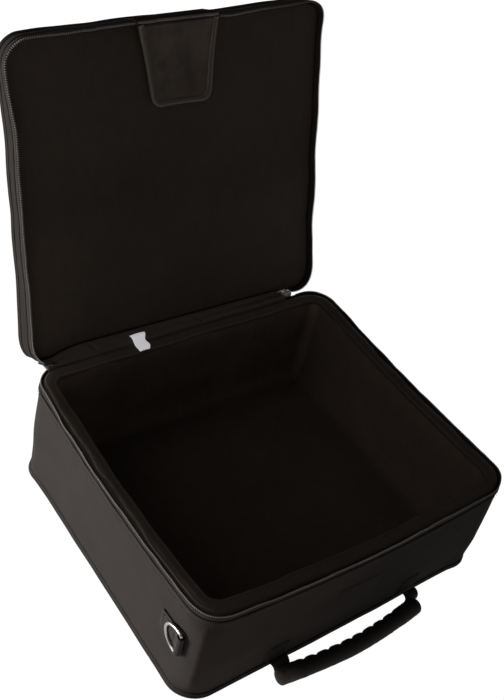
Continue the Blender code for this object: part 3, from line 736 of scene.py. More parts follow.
def side_cloth(grid):
    """Cushioned cloth: it swells between its seams, is puckered beside them, and folds to a
    crease down the front left corner."""
    grid = bow(grid)
    z = grid[..., 2]
    outward = np.empty_like(grid)
    outward[..., :2] = base_walk.n[:, None]
    outward[..., 2] = 0.0
    turned = np.degrees(np.arctan2(-outward[..., 1], -outward[..., 0]))
    crease = CREASE * np.clip(1.0 - np.abs(turned - 45.0) / 45.0, 0.0, 1.0) ** 1.6
    crease = crease * smooth(z, 7.0, 32.0) * (1.0 - smooth(z, 84.0, 104.0))
    swell = np.sin(np.clip((z - 6.6) / 100.9, 0.0, 1.0) * math.pi)
    broad = ripple(grid, (70.0, 70.0, 45.0), 1) * 1.1 * swell
    puckers = ripple(grid, (9.0, 9.0, 30.0), 2) * 0.5 * (1 - smooth(np.abs(z - 104.0), 2.0, 24.0))
    fine = ripple(grid, (16.0, 16.0, 12.0), 4) * 0.22
    return grid + outward * (0.7 * swell + broad + puckers + fine + crease)[..., None]


def make_base():
    outer = spline([(-0.4, 6.9), (0.0, 9.0), (0.0, 56.0), (0.0, 98.0), (0.15, 101.6),
                    (0.0, 102.6), (0.55, 104.6), (0.75, 106.2), (0.2, 107.4), (-0.7, 107.7)], 2.2)
    band("side_cloth", base_walk, skin(outer, 1.2), "outer_fabric", "base", side_cloth,
         replaces=["base_side_band"])
    seam = base_walk.offset(np.full(len(base_walk.p), 0.75), 102.4)[:, None]
    normals = np.hstack([base_walk.n, np.zeros((len(base_walk.n), 1))])
    stitches("side_stitching", side_cloth(seam)[:, 0], normals, "base", 3.6, closed=True,
             size=(2.6, 0.7, 0.25))

    lobes = [(-3.6, 1.2), (-2.4, 0.3), (-0.6, 0.1), (0.6, 0.5), (1.35, 1.3), (1.5, 2.2),
             (1.1, 3.1), (0.35, 3.6), (0.3, 3.8), (0.9, 4.2), (1.2, 5.0), (0.95, 5.9),
             (0.2, 6.5), (-0.8, 6.7), (-2.4, 6.4), (-3.6, 5.2)]
    band("bottom_binding", base_walk, lobes, "piping", "base", bow,
         give=lambda s, p: drift(s, 26.0, 6, 0.35)[..., None] * (1.0, 0.0),
         replaces=["base_bottom_piping"])
    disc("bottom_cloth", base_walk,
         [(4.2, 0.05, 1.7), (4.2, 0.5, 1.7), (4.2, 1.0, 1.7), (3.4, 1.0, 1.3), (4.2, 1.0, 0.2),
          (4.2, 0.9, 0.1), (4.2, 0.6, 0.1), (4.2, 0.3, 0.1), (4.2, 0.05, 0.1)],
         "outer_fabric", "base", lambda g: g, ["base_bottom_panel"])

    wall = [(-1.9, 6.8), (-1.9, 40.0), (-1.9, 75.0), (-1.9, 100.0), (-3.6, 107.5), (-5.6, 111.2),
            (-9.0, 112.0), (-11.5, 111.8), (-12.6, 108.0), (-12.6, 75.0), (-12.6, 40.0), (-12.6, 6.8)]
    padding = band("wall_padding", base_walk, wall, "foam", "base", bow,
                   replaces=["base_front_foam", "base_back_foam", "base_left_foam",
                             "base_right_foam"])
    floor = disc("floor_padding", base_walk,
                 [(13.2, 0.05, 5.3), (13.2, 0.6, 5.3), (13.2, 1.0, 5.5), (12.8, 1.0, 8.0),
                  (13.2, 1.0, 10.8), (13.2, 0.6, 11.0), (13.2, 0.05, 11.0)],
                 "foam", "base", lambda g: g, ["base_bottom_foam"])

    def tub(grid):
        grid = bow(grid)
        z = grid[..., 2]
        inward = walls * -1.0
        folds = ripple(grid, (34.0, 34.0, 26.0), 8) * 1.2 * smooth(z, 12.0, 40.0) \
            * (1.0 - smooth(z, 92.0, 110.0))
        grid = grid + inward * np.clip(folds + 0.4, -0.3, 2.0)[..., None]
        grid[..., 2] += (ripple(grid, (38.0, 38.0, 9.0), 9) * 0.7 + 0.2) * (z < 13.5)
        return grid

    walls = np.zeros((len(base_walk.p), 1, 3))
    walls[..., :2] = base_walk.n[:, None]
    floors = [(27.0, share, 12.4) for share in np.linspace(0.04, 1.0, 34)]
    rise = [(23.0, 1.0, 12.8), (19.8, 1.0, 14.2), (17.4, 1.0, 16.8), (15.8, 1.0, 20.6),
            (14.8, 1.0, 25.6)] + \
        [(14.3, 1.0, z) for z in np.linspace(32.0, 109.0, 28)] + [(14.2, 1.0, 111.5)]
    under = [(13.3, 1.0, 111.4)] + [(13.3, 1.0, z) for z in np.linspace(105.0, 18.0, 20)] + \
        [(14.0, 1.0, 13.0), (15.5, 1.0, 11.9), (18.0, 1.0, 11.5), (18.0, 0.5, 11.5),
         (18.0, 0.04, 11.5)]
    disc("lining_tub", base_walk, floors + rise + under, "tub", "base", tub,
         ["base_lining"])

    def crown(grid):
        grid = bow(grid)
        z = grid[..., 2]
        wobble = ripple(grid, (38.0, 38.0, 60.0), 11) * 1.1 + ripple(grid, (13.0, 13.0, 30.0), 12) * 0.35
        side = ripple(grid, (30.0, 34.0, 80.0), 13) * 1.1
        grid = grid + walls * (side * smooth(z, 109.0, 113.0))[..., None]
        grid[..., 2] += wobble * smooth(z, 109.0, 113.5)
        return grid

    rim = spline([(-2.1, 107.5), (-2.2, 110.6), (-3.2, 112.6), (-5.2, 113.9), (-8.2, 114.5),
                  (-11.0, 114.3), (-12.2, 114.0), (-12.8, 114.2), (-13.5, 114.5), (-14.3, 114.3),
                  (-14.8, 113.4), (-14.9, 112.0), (-14.6, 109.0)], 0.9)
    inner = [(-13.6, 109.0), (-13.8, 111.6), (-12.6, 112.6), (-8.8, 113.2), (-5.6, 112.7),
             (-3.4, 110.8), (-3.2, 107.5)]
    band("rim_band", base_walk, np.vstack([rim, inner]), "rim", "base", crown,
         replaces=["base_rim_cover"])


def make_base_zip():
    path = base_walk.without_hinge(-ZIP_END, TAPE_TAIL)

    def flop(s, profile):
        lean = (1.2 + 1.0 * ripple_along(s, 34.0, 21) + 0.5 * ripple_along(s, 12.0, 22))[:, None]
        lean = lean * smooth(profile[:, 1], 106.0, 114.0)[None]
        sink = 0.5 * ripple_along(s, 28.0, 23)[:, None] * smooth(profile[:, 1], 108.0, 114.0)[None]
        return np.stack([lean, sink], axis=-1)

    tape = skin(spline([(-1.5, 104.5), (-1.1, 107.6), (-0.6, 110.0), (-0.7, 112.0), (-1.3, 113.6)],
                       0.8), 0.8)
    band("tape_of_base", path, tape, "zip_tape", "base", bow, closed=False, give=flop,
         replaces=["base_zip_tape"])
    path = base_walk.without_hinge(-ZIP_END, ZIP_END)
    line = np.array([(-1.65, 114.1)])
    shift = flop(path.s, line) + line
    teeth = bow(path.offset(shift[..., 0], shift[..., 1]))[:, 0]
    places, forward = along(teeth, 1.9)
    up = np.broadcast_to((0.0, 0.0, 1.0), places.shape)
    beads("coil_of_base", places, forward, up, (1.9, 1.6, 0.75), "zip_teeth", "base",
          ["base_zip_teeth"])


def make_slider():
    """Two shields with a channel between them for the coil, and an arch that holds the pull."""
    along_x = np.linspace(-5.6, 5.6, 17)
    blunt = np.clip(1.0 - np.abs(along_x / 5.75) ** 5, 0.1, 1.0) ** 0.5
    tall = (4.0 + 0.5 * smooth(along_x, -4.0, 3.0)) * blunt
    half = np.array([(2.1, 0.0), (2.1, 0.8), (1.75, 1.0), (1.15, 1.0), (0.8, 0.88), (0.75, 0.45)])
    quarter = np.vstack([half, half[::-1] * (-1, 1)])
    section = np.vstack([quarter, quarter[-2:0:-1] * (1, -1)])
    x, y, z = SLIDER
    rows = [[(x + at, y + side * (0.6 + 0.4 * end), z + up * high) for side, up in section]
            for at, high, end in zip(along_x, tall, blunt)]
    loft("slider_body", np.array(rows), "enamel", "slider", replaces=["zip_slider"], sharp=40)
    arch = spline([(x - 3.4, y + 1.7), (x - 3.3, y + 3.6), (x - 1.9, y + 4.5), (x + 1.6, y + 4.5),
                   (x + 3.0, y + 3.6), (x + 3.1, y + 1.7)], 0.4)
    centres = np.stack([arch[:, 0], arch[:, 1], np.full(len(arch), z + 2.0)], axis=1)
    way = np.gradient(centres, axis=0)
    way /= np.linalg.norm(way, axis=1, keepdims=True)
    up = np.broadcast_to((0.0, 0.0, 1.0), centres.shape)
    loft("slider_arch", around(centres, np.cross(way, up), up, circle(0.65, 10)), "enamel",
         "slider")


def plate(name, place, width, height, thick, material, body, replaces=(), swell=0.3, cells=14,
          lip=0.55):
    """A patch: place(across, up, outward) gives points in mm; lip is its edge's share of the
    thickness."""
    x = np.linspace(-0.5, 0.5, cells)
    u, v = np.meshgrid(x, x, indexing="ij")
    round_off = 1.0 - 0.035 * ((2 * u) ** 6 * (2 * v) ** 6)
    u, v = u * round_off * width, v * round_off * height
    edge = (1.0 - (2 * u / width) ** 8) * (1.0 - (2 * v / height) ** 8)
    front = place(u, v, thick * lip + (thick * (1.0 - lip) + swell)
                  * np.clip(edge, 0, 1) ** (0.5 if lip > 0.3 else 1.2))
    back = place(u, v, np.zeros_like(u))
    count = cells * cells
    faces, _ = lattice(cells, cells, False, False)
    rim = [(i, 0) for i in range(cells)] + [(cells - 1, i) for i in range(1, cells)] + \
        [(i, cells - 1) for i in range(cells - 2, -1, -1)] + [(0, i) for i in range(cells - 2, 0, -1)]
    rim = [r * cols + c for (r, c), cols in zip(rim, [cells] * len(rim))]
    sides = [[a, b, b + count, a + count] for a, b in zip(rim, rim[1:] + rim[:1])]
    points = np.vstack([front.reshape(-1, 3), back.reshape(-1, 3)])
    flat = np.stack([np.tile(u.ravel(), 2), np.tile(v.ravel(), 2)], axis=1)
    everything = faces.tolist() + (faces + count).tolist() + sides
    uvs = flat[np.ravel(everything)]
    return finish_mesh(name, points, everything, uvs, material, body, replaces, sharp=50)


def on_front(middle_x, middle_z):
    def place(u, v, out):
        points = np.stack([middle_x + u, FRONT - 0.3 - out + 0 * u, middle_z + v], axis=-1)
        return bow(points)
    return place


def make_base_trim():
    plate("landing_loop", on_front(0.0, 62.5), 50.0, 27.0, 0.8, "hook_and_loop", "base",
          ["hook_landing_patch"], swell=0.1, cells=24, lip=0.1)
    for side, name in ((-1, "left"), (1, "right")):
        place = on_front(side * ANCHOR_X, 20.0)
        # The anchor patches are in the darker leatherette, painted shade.
        plate(f"anchor_{name}", place, 22.0, 24.0, 1.3, "shaded_hide", "base",
              [f"handle_anchor_{name}"], cells=20, lip=0.1)
        box_line = np.array([(-8.8, -9.6), (-8.8, 9.6), (8.8, 9.6), (8.8, -9.6)])
        line = place(box_line[:, 0], box_line[:, 1], np.full(4, 1.6))
        stitches(f"anchor_stitching_{name}", line, (0.0, -1.0, 0.0), "base", 3.0, closed=True,
                 size=(2.1, 0.7, 0.3))
        make_ring(side, name)
    make_label()


def make_ring(side, name):
    """A webbing loop sewn to the side wall, and the D ring that it holds."""
    bar = np.array((side * RING_X, RING_Y, RING_Z))
    path = spline([(-3.0, 27.6), (-3.1, 18.0), (-3.3, 8.0), (-2.8, 1.0), (-1.3, -2.4), (0.7, -2.7),
                   (2.5, -1.2), (2.6, 0.9), (1.3, 3.0), (-0.6, 5.2), (-1.7, 9.0), (-1.9, 18.0),
                   (-1.8, 27.9)], 0.8)
    centres = bar + np.stack([side * path[:, 0], path[:, 1], 0 * path[:, 0]], axis=1)
    way = np.gradient(centres, axis=0)
    way /= np.linalg.norm(way, axis=1, keepdims=True)
    up = np.broadcast_to((0.0, 0.0, 1.0), centres.shape)
    out = np.cross(way, up)
    section = flat_section(-10.3, 10.3, 1.1, 16)
    grid = bow(around(centres, up, out, section))
    loft(f"ring_tab_{name}", grid, "webbing", "base", replaces=[f"d_ring_tab_{name}"], sharp=60)
    box_line = bar + np.array([(-1.1 * side, 25.0, -8.2), (-1.1 * side, 9.5, -8.2),
                               (-1.1 * side, 9.5, 8.2), (-1.1 * side, 25.0, 8.2)])
    stitches(f"ring_tab_stitching_{name}", bow(box_line), (float(side), 0.0, 0.0), "base", 2.6,
             closed=True, size=(1.9, 0.7, 0.35))

    angles = np.linspace(0.0, math.pi, 30)
    curve = [(19.0 * math.sin(a) ** 0.8, 13.2 * math.cos(a)) for a in angles[1:-1]]
    bends = [(0.25, 12.3), (2.2, 13.15)]
    outline = [(0.0, z) for z in (-11.0, -5.0, 0.0, 5.0, 11.0)] + bends + curve[2:-2] + \
        [(y, -z) for y, z in bends[::-1]]
    outline = np.array([(0.0, y, z) for y, z in outline])
    line = spline(np.vstack([outline, outline[:1]]), 1.0)[:-1]
    way = np.roll(line, -1, axis=0) - np.roll(line, 1, axis=0)
    way /= np.linalg.norm(way, axis=1, keepdims=True)
    flat = np.broadcast_to((1.0, 0.0, 0.0), line.shape)
    grid = around(bar + line, flat, np.cross(way, flat), circle(RING_ROD, 16))
    loft(f"ring_{name}_rod", grid, "nickel", f"ring_{name}", closed_rows=True,
         replaces=[f"d_ring_{name}"])


def make_label():
    """A folded satin label that comes out of the hinge seam and lies over the back rim."""
    path = spline([(BACK + 3.2, 119.4), (BACK + 0.6, 119.2), (140.0, 117.4), (135.5, 116.2),
                   (131.4, 115.9), (128.9, 114.6)], 0.8)
    share = np.linspace(0.0, 1.0, len(path))
    left = -60.8 + 1.4 * share + 0.5 * np.sin(7.0 * share)
    right = -46.9 - 2.0 * share + 1.0 * np.sin(9.0 * share + 1.0)
    rows = []
    for (y, z), low, high in zip(path, left, right):
        section = flat_section(low, high, 0.4, 12, 0.6)
        rows.append([(x, y, z + lift) for x, lift in section])
    loft("label_ribbon", np.array(rows), "label_cloth", "base", replaces=["care_label"], sharp=60)


# ---- handle ----

def make_handle():
    t = np.linspace(-1.0, 1.0, 151)
    centres = np.stack([GRIP_SPAN * t - 2.5 * (1.0 - t) - 0.8, FRONT - GRIP_REACH + GRIP_DROP * np.abs(t) ** GRIP_CURVE,
                        np.full_like(t, GRIP_HEIGHT)], axis=1)
    way = np.gradient(centres, axis=0)
    way /= np.linalg.norm(way, axis=1, keepdims=True)
    up = np.broadcast_to((0.0, 0.0, 1.0), centres.shape)
    inner = np.cross(up, way)
    far = distances(centres)
    middle = far[-1] / 2
    held = 1.0 - smooth(np.abs(far - middle), 47.0, 56.0)
    notch = (0.5 + 0.5 * np.cos((far - middle) * 2.0 * math.pi / 12.6)) ** 3
    a = np.linspace(0.0, 2.0 * math.pi, 28, endpoint=False)
    toward = np.clip(np.cos(a), 0.0, 1.0) ** 1.2
    ends = np.sqrt(np.clip(1.0 - np.clip((np.abs(far - middle) - (middle - 4.0)) / 4.4, 0, 1) ** 2,
                           0.03, 1.0))
    radius = GRIP_RADIUS * ends[:, None] * (1.0 - 0.25 * held[:, None] * notch[:, None] * toward)
    radius = radius * (1.0 + 0.03 * (1 - held[:, None]))
    section = np.stack([radius * np.cos(a), radius * np.sin(a)], axis=-1)
    grid = centres[:, None] + inner[:, None] * section[..., :1] + up[:, None] * section[..., 1:]
    grid += 0.16 * ripple(grid, 5.0, 31)[..., None] * (0.0, 1.0, 1.0)
    grid[..., 2] = np.maximum(grid[..., 2], 0.3)
    loft("grip_sleeve", grid, "grip_rubber", "handle", replaces=["handle_grip"])

    for side, name in ((-1, "left"), (1, "right")):
        path = spline([(FRONT - 3.4, 14.0), (FRONT - 5.2, 14.8), (FRONT - 7.6, 14.2),
                       (FRONT - 9.4, 12.0), (FRONT - 9.9, 8.0)], 0.7)
        centres = np.array([(side * ANCHOR_X, y, z) for y, z in path])
        way = np.gradient(centres, axis=0)
        way /= np.linalg.norm(way, axis=1, keepdims=True)
        across = np.broadcast_to((1.0, 0.0, 0.0), centres.shape)
        root, tip = ((-9.5, 8.0), (-6.0, 8.0)) if side < 0 else ((-8.5, 6.0), (-8.5, 4.5))
        share = np.linspace(0.0, 1.0, len(path))[:, None]
        section = np.stack([flat_section(*(a + (b - a) * t for a, b in zip(root, tip)), 2.2, 12)
                            for t in share[:, 0]])
        section[..., 1] *= 0.5 + 0.5 * smooth(share, 0.1, 0.6)
        grid = around(centres, across, np.cross(across, way), section)
        loft(f"strap_{name}", grid, "webbing", "handle", replaces=[f"handle_strap_{name}"],
             sharp=60)


# ---- lid ----

def lid_shape(grid):
    return open_lid(lid_bow(grid))


def make_lid():
    normals = np.zeros((len(lid_walk.p), 1, 3))
    normals[..., :2] = lid_walk.n[:, None]

    def gusset(grid):
        z = grid[..., 2]
        swell = np.sin(np.clip((z - 127.0) / 14.5, 0.0, 1.0) * math.pi)
        push = 0.5 * swell + 0.5 * ripple(grid, (26.0, 26.0, 14.0), 41) * swell \
            + 0.3 * ripple(grid, (9.0, 9.0, 12.0), 42)
        return lid_shape(grid + normals * push[..., None])

    outer = spline([(-0.5, 126.6), (0.3, 127.2), (0.5, 129.0), (0.0, 131.0), (0.0, 136.0),
                    (-0.3, 141.6)], 1.2)
    # The lid's side is in the darker copy of the outer cloth, painted shade.
    band("lid_side_cloth", lid_walk, skin(outer, 1.2), "lid_cloth_shaded", "lid", gusset,
         replaces=["lid_gusset"])
    lobes = [(-3.6, 145.6), (-2.6, 146.5), (-1.2, 146.7), (0.2, 146.3), (1.1, 145.4), (1.2, 144.5),
             (0.7, 143.7), (0.2, 143.3), (0.6, 142.9), (0.9, 142.2), (0.5, 141.4), (-0.6, 141.1),
             (-2.4, 141.4), (-3.6, 142.4)]
    band("lid_binding", lid_walk, lobes[::-1], "piping", "lid", lid_shape,
         give=lambda s, p: drift(s, 24.0, 43, 0.4)[..., None] * (1.0, 0.0),
         replaces=["lid_top_piping"])

    def top(grid):
        x, y = grid[..., 0] / 153.0, (grid[..., 1] - LID_MID_Y) / 137.0
        dome = np.clip(1 - x ** 4, 0, 1) * np.clip(1 - y ** 4, 0, 1)
        grid = grid.copy()
        grid[..., 2] += 1.2 * dome + 0.7 * dome * ripple(grid, (52.0, 52.0, 90.0), 44)
        return lid_shape(grid)

    disc("lid_top_cloth", lid_walk,
         [(4.0, share, 144.9) for share in (0.05, 0.5, 1.0)] + [(3.0, 1.0, 145.6)] +
         [(4.0, share, 146.5) for share in np.linspace(1.0, 0.04, 30)],
         "outer_fabric", "lid", top, ["lid_top_panel"])
    padding = disc("lid_padding", lid_walk,
                   [(2.8, share, 127.8) for share in (0.05, 0.5, 0.9, 1.0)] +
                   [(2.5, 1.0, 129.0), (2.5, 1.0, 138.0)] +
                   [(3.0, share, 140.0) for share in (1.0, 0.9, 0.5, 0.05)],
                   "foam", "lid", lid_shape, ["lid_foam"])

    def quilt(grid):
        """The lining is pulled tight over the pad and rolls into the seam round its edge."""
        grid = grid.copy()
        x, y = grid[..., 0] / 149.0, (grid[..., 1] - LID_MID_Y) / 133.0
        full = np.clip(1 - np.abs(x) ** 9, 0, 1) * np.clip(1 - np.abs(y) ** 9, 0, 1)
        grid[..., 2] -= full * (1.1 + 0.8 * ripple(grid, (75.0, 62.0, 90.0), 45)
                                + 0.22 * ripple(grid, (17.0, 30.0, 90.0), 46))
        return lid_shape(grid)

    disc("lid_lining_cloth", lid_walk,
         [(1.9, share, 126.7) for share in np.linspace(0.03, 0.9, 8)] + [(1.9, 1.0, 126.9)] +
         [(1.7, 1.0, 126.2), (2.4, 1.0, 125.3), (4.0, 1.0, 124.9)] +
         [(5.5, share, 124.9) for share in np.linspace(1.0, 0.02, 70)],
         "lining_fabric", "lid", quilt, ["lid_lining"])

    path = lid_walk.without_hinge(-ZIP_END, ZIP_END)

    def flop(s, profile):
        lean = (0.5 + 0.9 * ripple_along(s, 40.0, 47) + 0.45 * ripple_along(s, 13.0, 48))[:, None]
        lean = lean * (1.0 - smooth(profile[:, 1], 117.5, 126.0))[None]
        sink = 0.6 * ripple_along(s, 30.0, 49)[:, None] \
            * (1.0 - smooth(profile[:, 1], 117.0, 124.0))[None]
        return np.stack([lean, sink], axis=-1)

    tape = skin(spline([(-1.4, 118.9), (-0.5, 119.6), (0.1, 121.0), (0.2, 123.5), (-0.3, 126.2),
                        (-0.8, 128.0)], 0.9), 0.9)
    band("tape_of_lid", path, tape, "zip_tape", "lid", lid_shape, closed=False, give=flop,
         replaces=["lid_zip_tape"])
    line = np.array([(-1.3, 118.7)])
    shift = flop(path.s, line) + line
    teeth = lid_bow(path.offset(shift[..., 0], shift[..., 1]))[:, 0]
    places, forward = along(open_lid(teeth), 1.9)
    toward = open_lid([(0.0, 0.0, 0.0)]) - open_lid([(0.0, 0.0, 1.0)])
    beads("coil_of_lid", places, forward, np.broadcast_to(toward, places.shape), (1.0, 2.3, 0.95),
          "zip_teeth", "lid", ["lid_zip_teeth"])


def make_hinge():
    """Two layers of creased cloth that close the gap behind the rim."""
    x = np.linspace(*STRIP, 190)
    layers = {                       # fixed points on the base, then on the closed lid
        "hinge_cloth_outer": ([(BACK - 0.5, 104.0), (BACK + 0.7, 108.0), (BACK + 1.6, 112.0)],
                              [(134.4, 121.0), (134.9, 125.0), (134.9, 130.0)],
                              ["hinge_cloth_base_edge"], 61),
        "hinge_cloth_inner": ([(140.6, 111.6), (141.6, 113.6), (BACK + 0.2, 114.6)],
                              [(133.4, 118.3), (131.8, 119.4), (130.3, 122.4)],
                              ["hinge_cloth_lid_edge"], 63),
    }
    round_off = np.clip((np.abs(x) - 130.0) / 25.0, 0.0, 1.0) ** 2
    for name, (low, high, stood_for, seed) in layers.items():
        rows = []
        for across, inward in zip(x, round_off):
            ends = [(across, y - 9.0 * inward, z) for y, z in low]
            tops = lid_shape([(across, y - 5.0 * inward, z) for y, z in high])
            line = spline([p[1:] for p in (*ends, *tops)], 0.8)
            line = np.stack([np.interp(np.linspace(0, 1, 26), np.linspace(0, 1, len(line)),
                                       line[:, i]) for i in range(2)], axis=1)
            rows.append([(across, y, z) for y, z in skin(line, 0.8)])
        grid = np.array(rows)
        share = np.linspace(0.0, 1.0, 26)
        slack = smooth(share, 0.12, 0.45) * (1.0 - smooth(share, 0.6, 0.92))
        slack = np.concatenate([slack, slack[::-1]])
        crumple = ripple(grid * (1, 0, 0), 21.0, seed) * 1.1 \
            + ripple(grid, (8.0, 9.0, 9.0), seed + 1) * 0.55 \
            + ripple(grid, (3.0, 6.0, 6.0), seed + 2) * 0.2
        lean = grid[..., 0] + 0.6 * (grid[..., 1] - 146.0)
        for at, wide, deep in HINGE_FOLDS:
            crumple = crumple - deep * np.exp(-((lean - at) / wide) ** 2)
        lift = (crumple + 0.6) * slack[None]
        grid[..., 2] += lift
        grid[..., 1] -= 0.5 * lift
        piece = loft(name, grid, "strip", replaces=stood_for)
        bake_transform(piece)


# ---- closing flap ----

def flap_point(x, reach, out):
    """Closed-lid place of a point on the flap; out is towards the lid's lining."""
    tilt = math.radians(FLAP_TILT)
    share = np.clip(reach / FLAP_LENGTH, 0.0, 1.0)
    sag = 1.6 * np.sin(share * math.pi) - 2.0 * share ** 2 * smooth(x, 0.0, 40.0)
    sag = sag - 0.9 * smooth(-reach, -14.0, 0.0) + 1.4 * share * np.cos(x / 14.0)
    out = out + sag
    y = FLAP_AXIS[0] + reach * math.cos(tilt) - out * math.sin(tilt)
    z = FLAP_AXIS[1] + reach * math.sin(tilt) + out * math.cos(tilt)
    return np.stack(np.broadcast_arrays(x, y, z), axis=-1)


def flap_half(reach):
    share = reach / FLAP_LENGTH
    half = 39.6 - 11.4 * share - 0.8 * np.sin(share * math.pi)
    corner = 10.0
    into = np.clip((reach - (FLAP_LENGTH - corner)) / corner, 0.0, 1.0)
    return half - corner * (1.0 - np.sqrt(1.0 - into ** 2))


def flap_middle(reach):
    share = reach / FLAP_LENGTH
    return -0.8 + 3.6 * share + 0.8 * np.sin(np.clip(share, 0.0, 1.0) * math.pi)


def make_flap():
    turn = np.sin(np.linspace(0.06, 1.0, 16) * math.pi / 2)
    straight = FLAP_LENGTH - 14.0
    reach = np.concatenate([np.linspace(5.5, straight, 36), straight + 14.0 * turn])
    rows = []
    for r in reach:
        half = flap_half(max(r, 0.0)) - 1.2
        section = flat_section(-half, half, 1.5, 34)
        rows.append(flap_point(flap_middle(r) + section[:, 0], np.full(len(section), r - 0.6),
                               section[:, 1]))
    grid = np.array(rows)
    grid = open_lid(grid)
    panel = loft("flap_tongue", grid, "leatherette", "flap", replaces=["flap_panel"], sharp=50)

    side = np.linspace(6.6, FLAP_LENGTH - 10.0, 40)
    bend = np.linspace(0.0, math.pi / 2, 9)[1:]
    corner = np.stack([10.0 * np.cos(bend),
                       FLAP_LENGTH - 10.0 + 10.0 * np.sin(bend)], axis=1)
    inner_half = flap_half(FLAP_LENGTH - 10.0) - 10.4
    right = [(flap_middle(r) + flap_half(r), r) for r in side] + \
        [(flap_middle(r) + inner_half + x, r) for x, r in corner]
    left = [(2.0 * flap_middle(r) - x, r) for x, r in right[::-1]]
    across = np.linspace(right[-1][0], left[0][0], 24)[1:-1]
    outline = np.array(right + [(x, FLAP_LENGTH) for x in across] + left)
    way = np.gradient(outline, axis=0)
    way /= np.linalg.norm(way, axis=1, keepdims=True)
    inward = np.stack([-way[:, 1], way[:, 0]], axis=1)
    tape = np.array([(-0.7, -0.4), (-0.5, -1.4), (0.5, -2.1), (1.8, -2.2), (3.2, -1.9),
                     (4.4, -1.8), (5.2, -1.4), (5.3, -0.7), (4.4, -0.3), (2.4, 0.0),
                     (4.4, 0.3), (5.2, 0.9), (4.4, 1.3), (2.6, 1.5), (0.8, 1.5), (-0.4, 0.9)])
    tape[:, 0] *= 0.76
    flat = outline[:, None] + inward[:, None] * tape[None, :, :1]
    wander = 0.7 * ripple_along(distances(outline), 17.0, 75)[:, None] \
        * smooth(tape[:, 0], 1.0, 3.4)[None]
    flat = flat + inward[:, None] * wander[..., None]
    grid = open_lid(flap_point(flat[..., 0], flat[..., 1],
                               np.broadcast_to(tape[:, 1], flat.shape[:2])))
    loft("flap_edge_tape", grid, "flap_rib", "flap", replaces=["flap_binding"], sharp=50)
    seam = outline + inward * 3.2
    line = open_lid(flap_point(seam[:, 0], seam[:, 1], np.full(len(seam), -1.9)))
    toward = (open_lid([(0.0, 0.0, 0.0)]) - open_lid([(0.0, 0.0, 1.0)]))[0]
    stitches("flap_stitching", line, toward, "flap", 3.2, size=(2.3, 0.7, 0.3))

    def hook_place(u, v, out):
        return open_lid(flap_point(flap_middle(54.0) + u, 54.0 + v, 1.0 + out))

    plate("flap_hooks", hook_place, 44.0, 22.0, 1.0, "hook_and_loop", "flap",
          ["flap_hook_patch"], swell=0.2, cells=20)

    path = spline([(-140.8, 141.4), (-141.3, 136.0), (-141.9, 130.0), (-142.4, 124.0),
                   (-142.2, 119.8), (-141.2, 117.0), (-139.4, 115.9), (-137.2, 115.9)], 0.9)
    x = np.linspace(-40.2, 38.8, 70)
    profile = skin(path, 1.3)
    grid = np.empty((len(x), len(profile), 3))
    grid[..., 0] = x[:, None]
    grid[..., 1:] = profile[None]
    loose = np.sin(np.linspace(0.0, 1.0, len(path)) * math.pi)
    grid[..., 1] -= 0.7 * np.concatenate([loose, loose[::-1]]) \
        * (0.2 + ripple(grid, (16.0, 30.0, 30.0), 71))
    # The root is in the darker leatherette, painted shade.
    root = loft("flap_root_fold", open_lid(grid), "shaded_hide", replaces=["flap_root"], sharp=50)
    ends = open_lid([(0.0, -142.3, 121.5), (0.0, -139.0, 116.0)]) * MM
    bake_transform(root)
    # A thin roll along the flap's fold, in the paler leatherette that is a painted highlight.
    line = np.linspace(-39.6, 38.2, 80)
    centres = np.stack([line, -140.7 + 0.45 * ripple_along(line, 12.0, 73),
                        116.2 + 0.5 * ripple_along(line, 9.0, 74)], axis=1)
    fade = np.sqrt(np.clip(1.0 - (line / 39.9) ** 30, 0.05, 1.0))
    section = circle(1.0, 12)[None] * (1.15 * fade)[:, None, None]
    across = np.broadcast_to((0.0, 1.0, 0.0), centres.shape)
    up = np.broadcast_to((0.0, 0.0, 1.0), centres.shape)
    fold = loft("flap_fold", open_lid(around(centres, across, up, section)), "fold_highlight_hide")
    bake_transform(fold)


make_base()
make_base_zip()
make_base_trim()
make_slider()
make_handle()
make_lid()
make_hinge()
make_flap()


# ---- floor, light and camera ----

def make_stage():
    bpy.ops.mesh.primitive_plane_add(size=40.0, location=(0.0, 0.0, 0.0))
    floor = bpy.context.object
    floor.name = "floor"
    paint = bpy.data.materials.new("floor")
    paint.use_nodes = True
    shader = paint.node_tree.nodes["Principled BSDF"]
    shader.inputs["Base Color"].default_value = (0.15, 0.15, 0.15, 1.0)
    shader.inputs["Roughness"].default_value = 0.9
    shader.inputs["Specular IOR Level"].default_value = 0.1
    shader.inputs["Emission Color"].default_value = (1.0, 1.0, 1.0, 1.0)
    shader.inputs["Emission Strength"].default_value = FLOOR_GLOW
    floor.data.materials.append(paint)


def area_light(name, place, target, size, power):
    data = bpy.data.lights.new(name, "AREA")
    data.shape = "RECTANGLE"
    data.size, data.size_y = size
    data.energy = power
    lamp = bpy.data.objects.new(name, data)
    lamp.location = place
    lamp.rotation_euler = (Vector(target) - Vector(place)).to_track_quat("-Z", "Y").to_euler()
    bpy.context.scene.collection.objects.link(lamp)


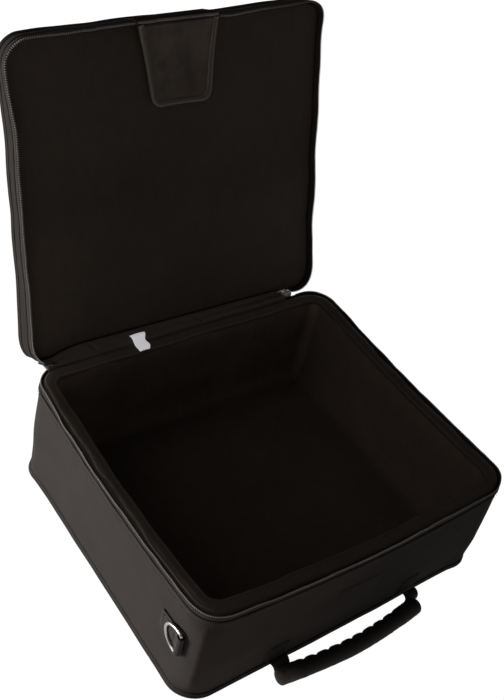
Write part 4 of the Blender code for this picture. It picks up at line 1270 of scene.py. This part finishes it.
def make_sky(scene):
    """Dim overhead, and as bright as the floor where it meets the floor."""
    world = bpy.data.worlds.new("studio")
    world.use_nodes = True
    nodes, links = world.node_tree.nodes, world.node_tree.links
    background = nodes["Background"]
    background.inputs["Color"].default_value = (1.0, 1.0, 1.0, 1.0)
    way = nodes.new("ShaderNodeTexCoord")
    parts = nodes.new("ShaderNodeSeparateXYZ")
    fade = nodes.new("ShaderNodeMapRange")
    for name, value in (("From Min", SKY_FADE[0]), ("From Max", SKY_FADE[1]),
                        ("To Min", 1.0), ("To Max", WORLD_LIGHT)):
        fade.inputs[name].default_value = value
    links.new(way.outputs["Generated"], parts.inputs["Vector"])
    links.new(parts.outputs["Z"], fade.inputs["Value"])
    links.new(fade.outputs["Result"], background.inputs["Strength"])
    scene.world = world


FLOOR_GLOW = 0.99
WORLD_LIGHT = 0.13
SKY_FADE = (0.055, 0.11)
AZIMUTH, ELEVATION, ROLL = (math.radians(a) for a in (-43.8, 41.1, 14.35))
CAMERA_AT = (-486.65, -457.80, 777.04)
LENS = 55.56

scene = bpy.context.scene
make_stage()
area_light("key", (-1.50, 0.82, 0.062), (0.0, 0.0, 0.10), (0.5, 0.11), 62.0)
area_light("high_left", (-1.15, 0.35, 1.15), (0.0, 0.0, 0.1), (0.9, 0.9), 4.0)
area_light("fill_right", (1.50, 0.70, 0.062), (0.0, 0.0, 0.10), (0.5, 0.11), 16.0)

make_sky(scene)
scene.view_settings.view_transform = "Standard"

back = Vector((math.sin(AZIMUTH) * math.cos(ELEVATION), -math.cos(AZIMUTH) * math.cos(ELEVATION),
               math.sin(ELEVATION)))
lens = bpy.data.cameras.new("camera")
lens.sensor_width = 36.0
lens.lens = LENS
lens.clip_end = 20.0
camera = bpy.data.objects.new("camera", lens)
camera.location = Vector(CAMERA_AT) * MM
camera.rotation_mode = "QUATERNION"
camera.rotation_quaternion = (-back).to_track_quat("-Z", "Y") @ Quaternion((0, 0, 1), ROLL)
scene.collection.objects.link(camera)
scene.camera = camera
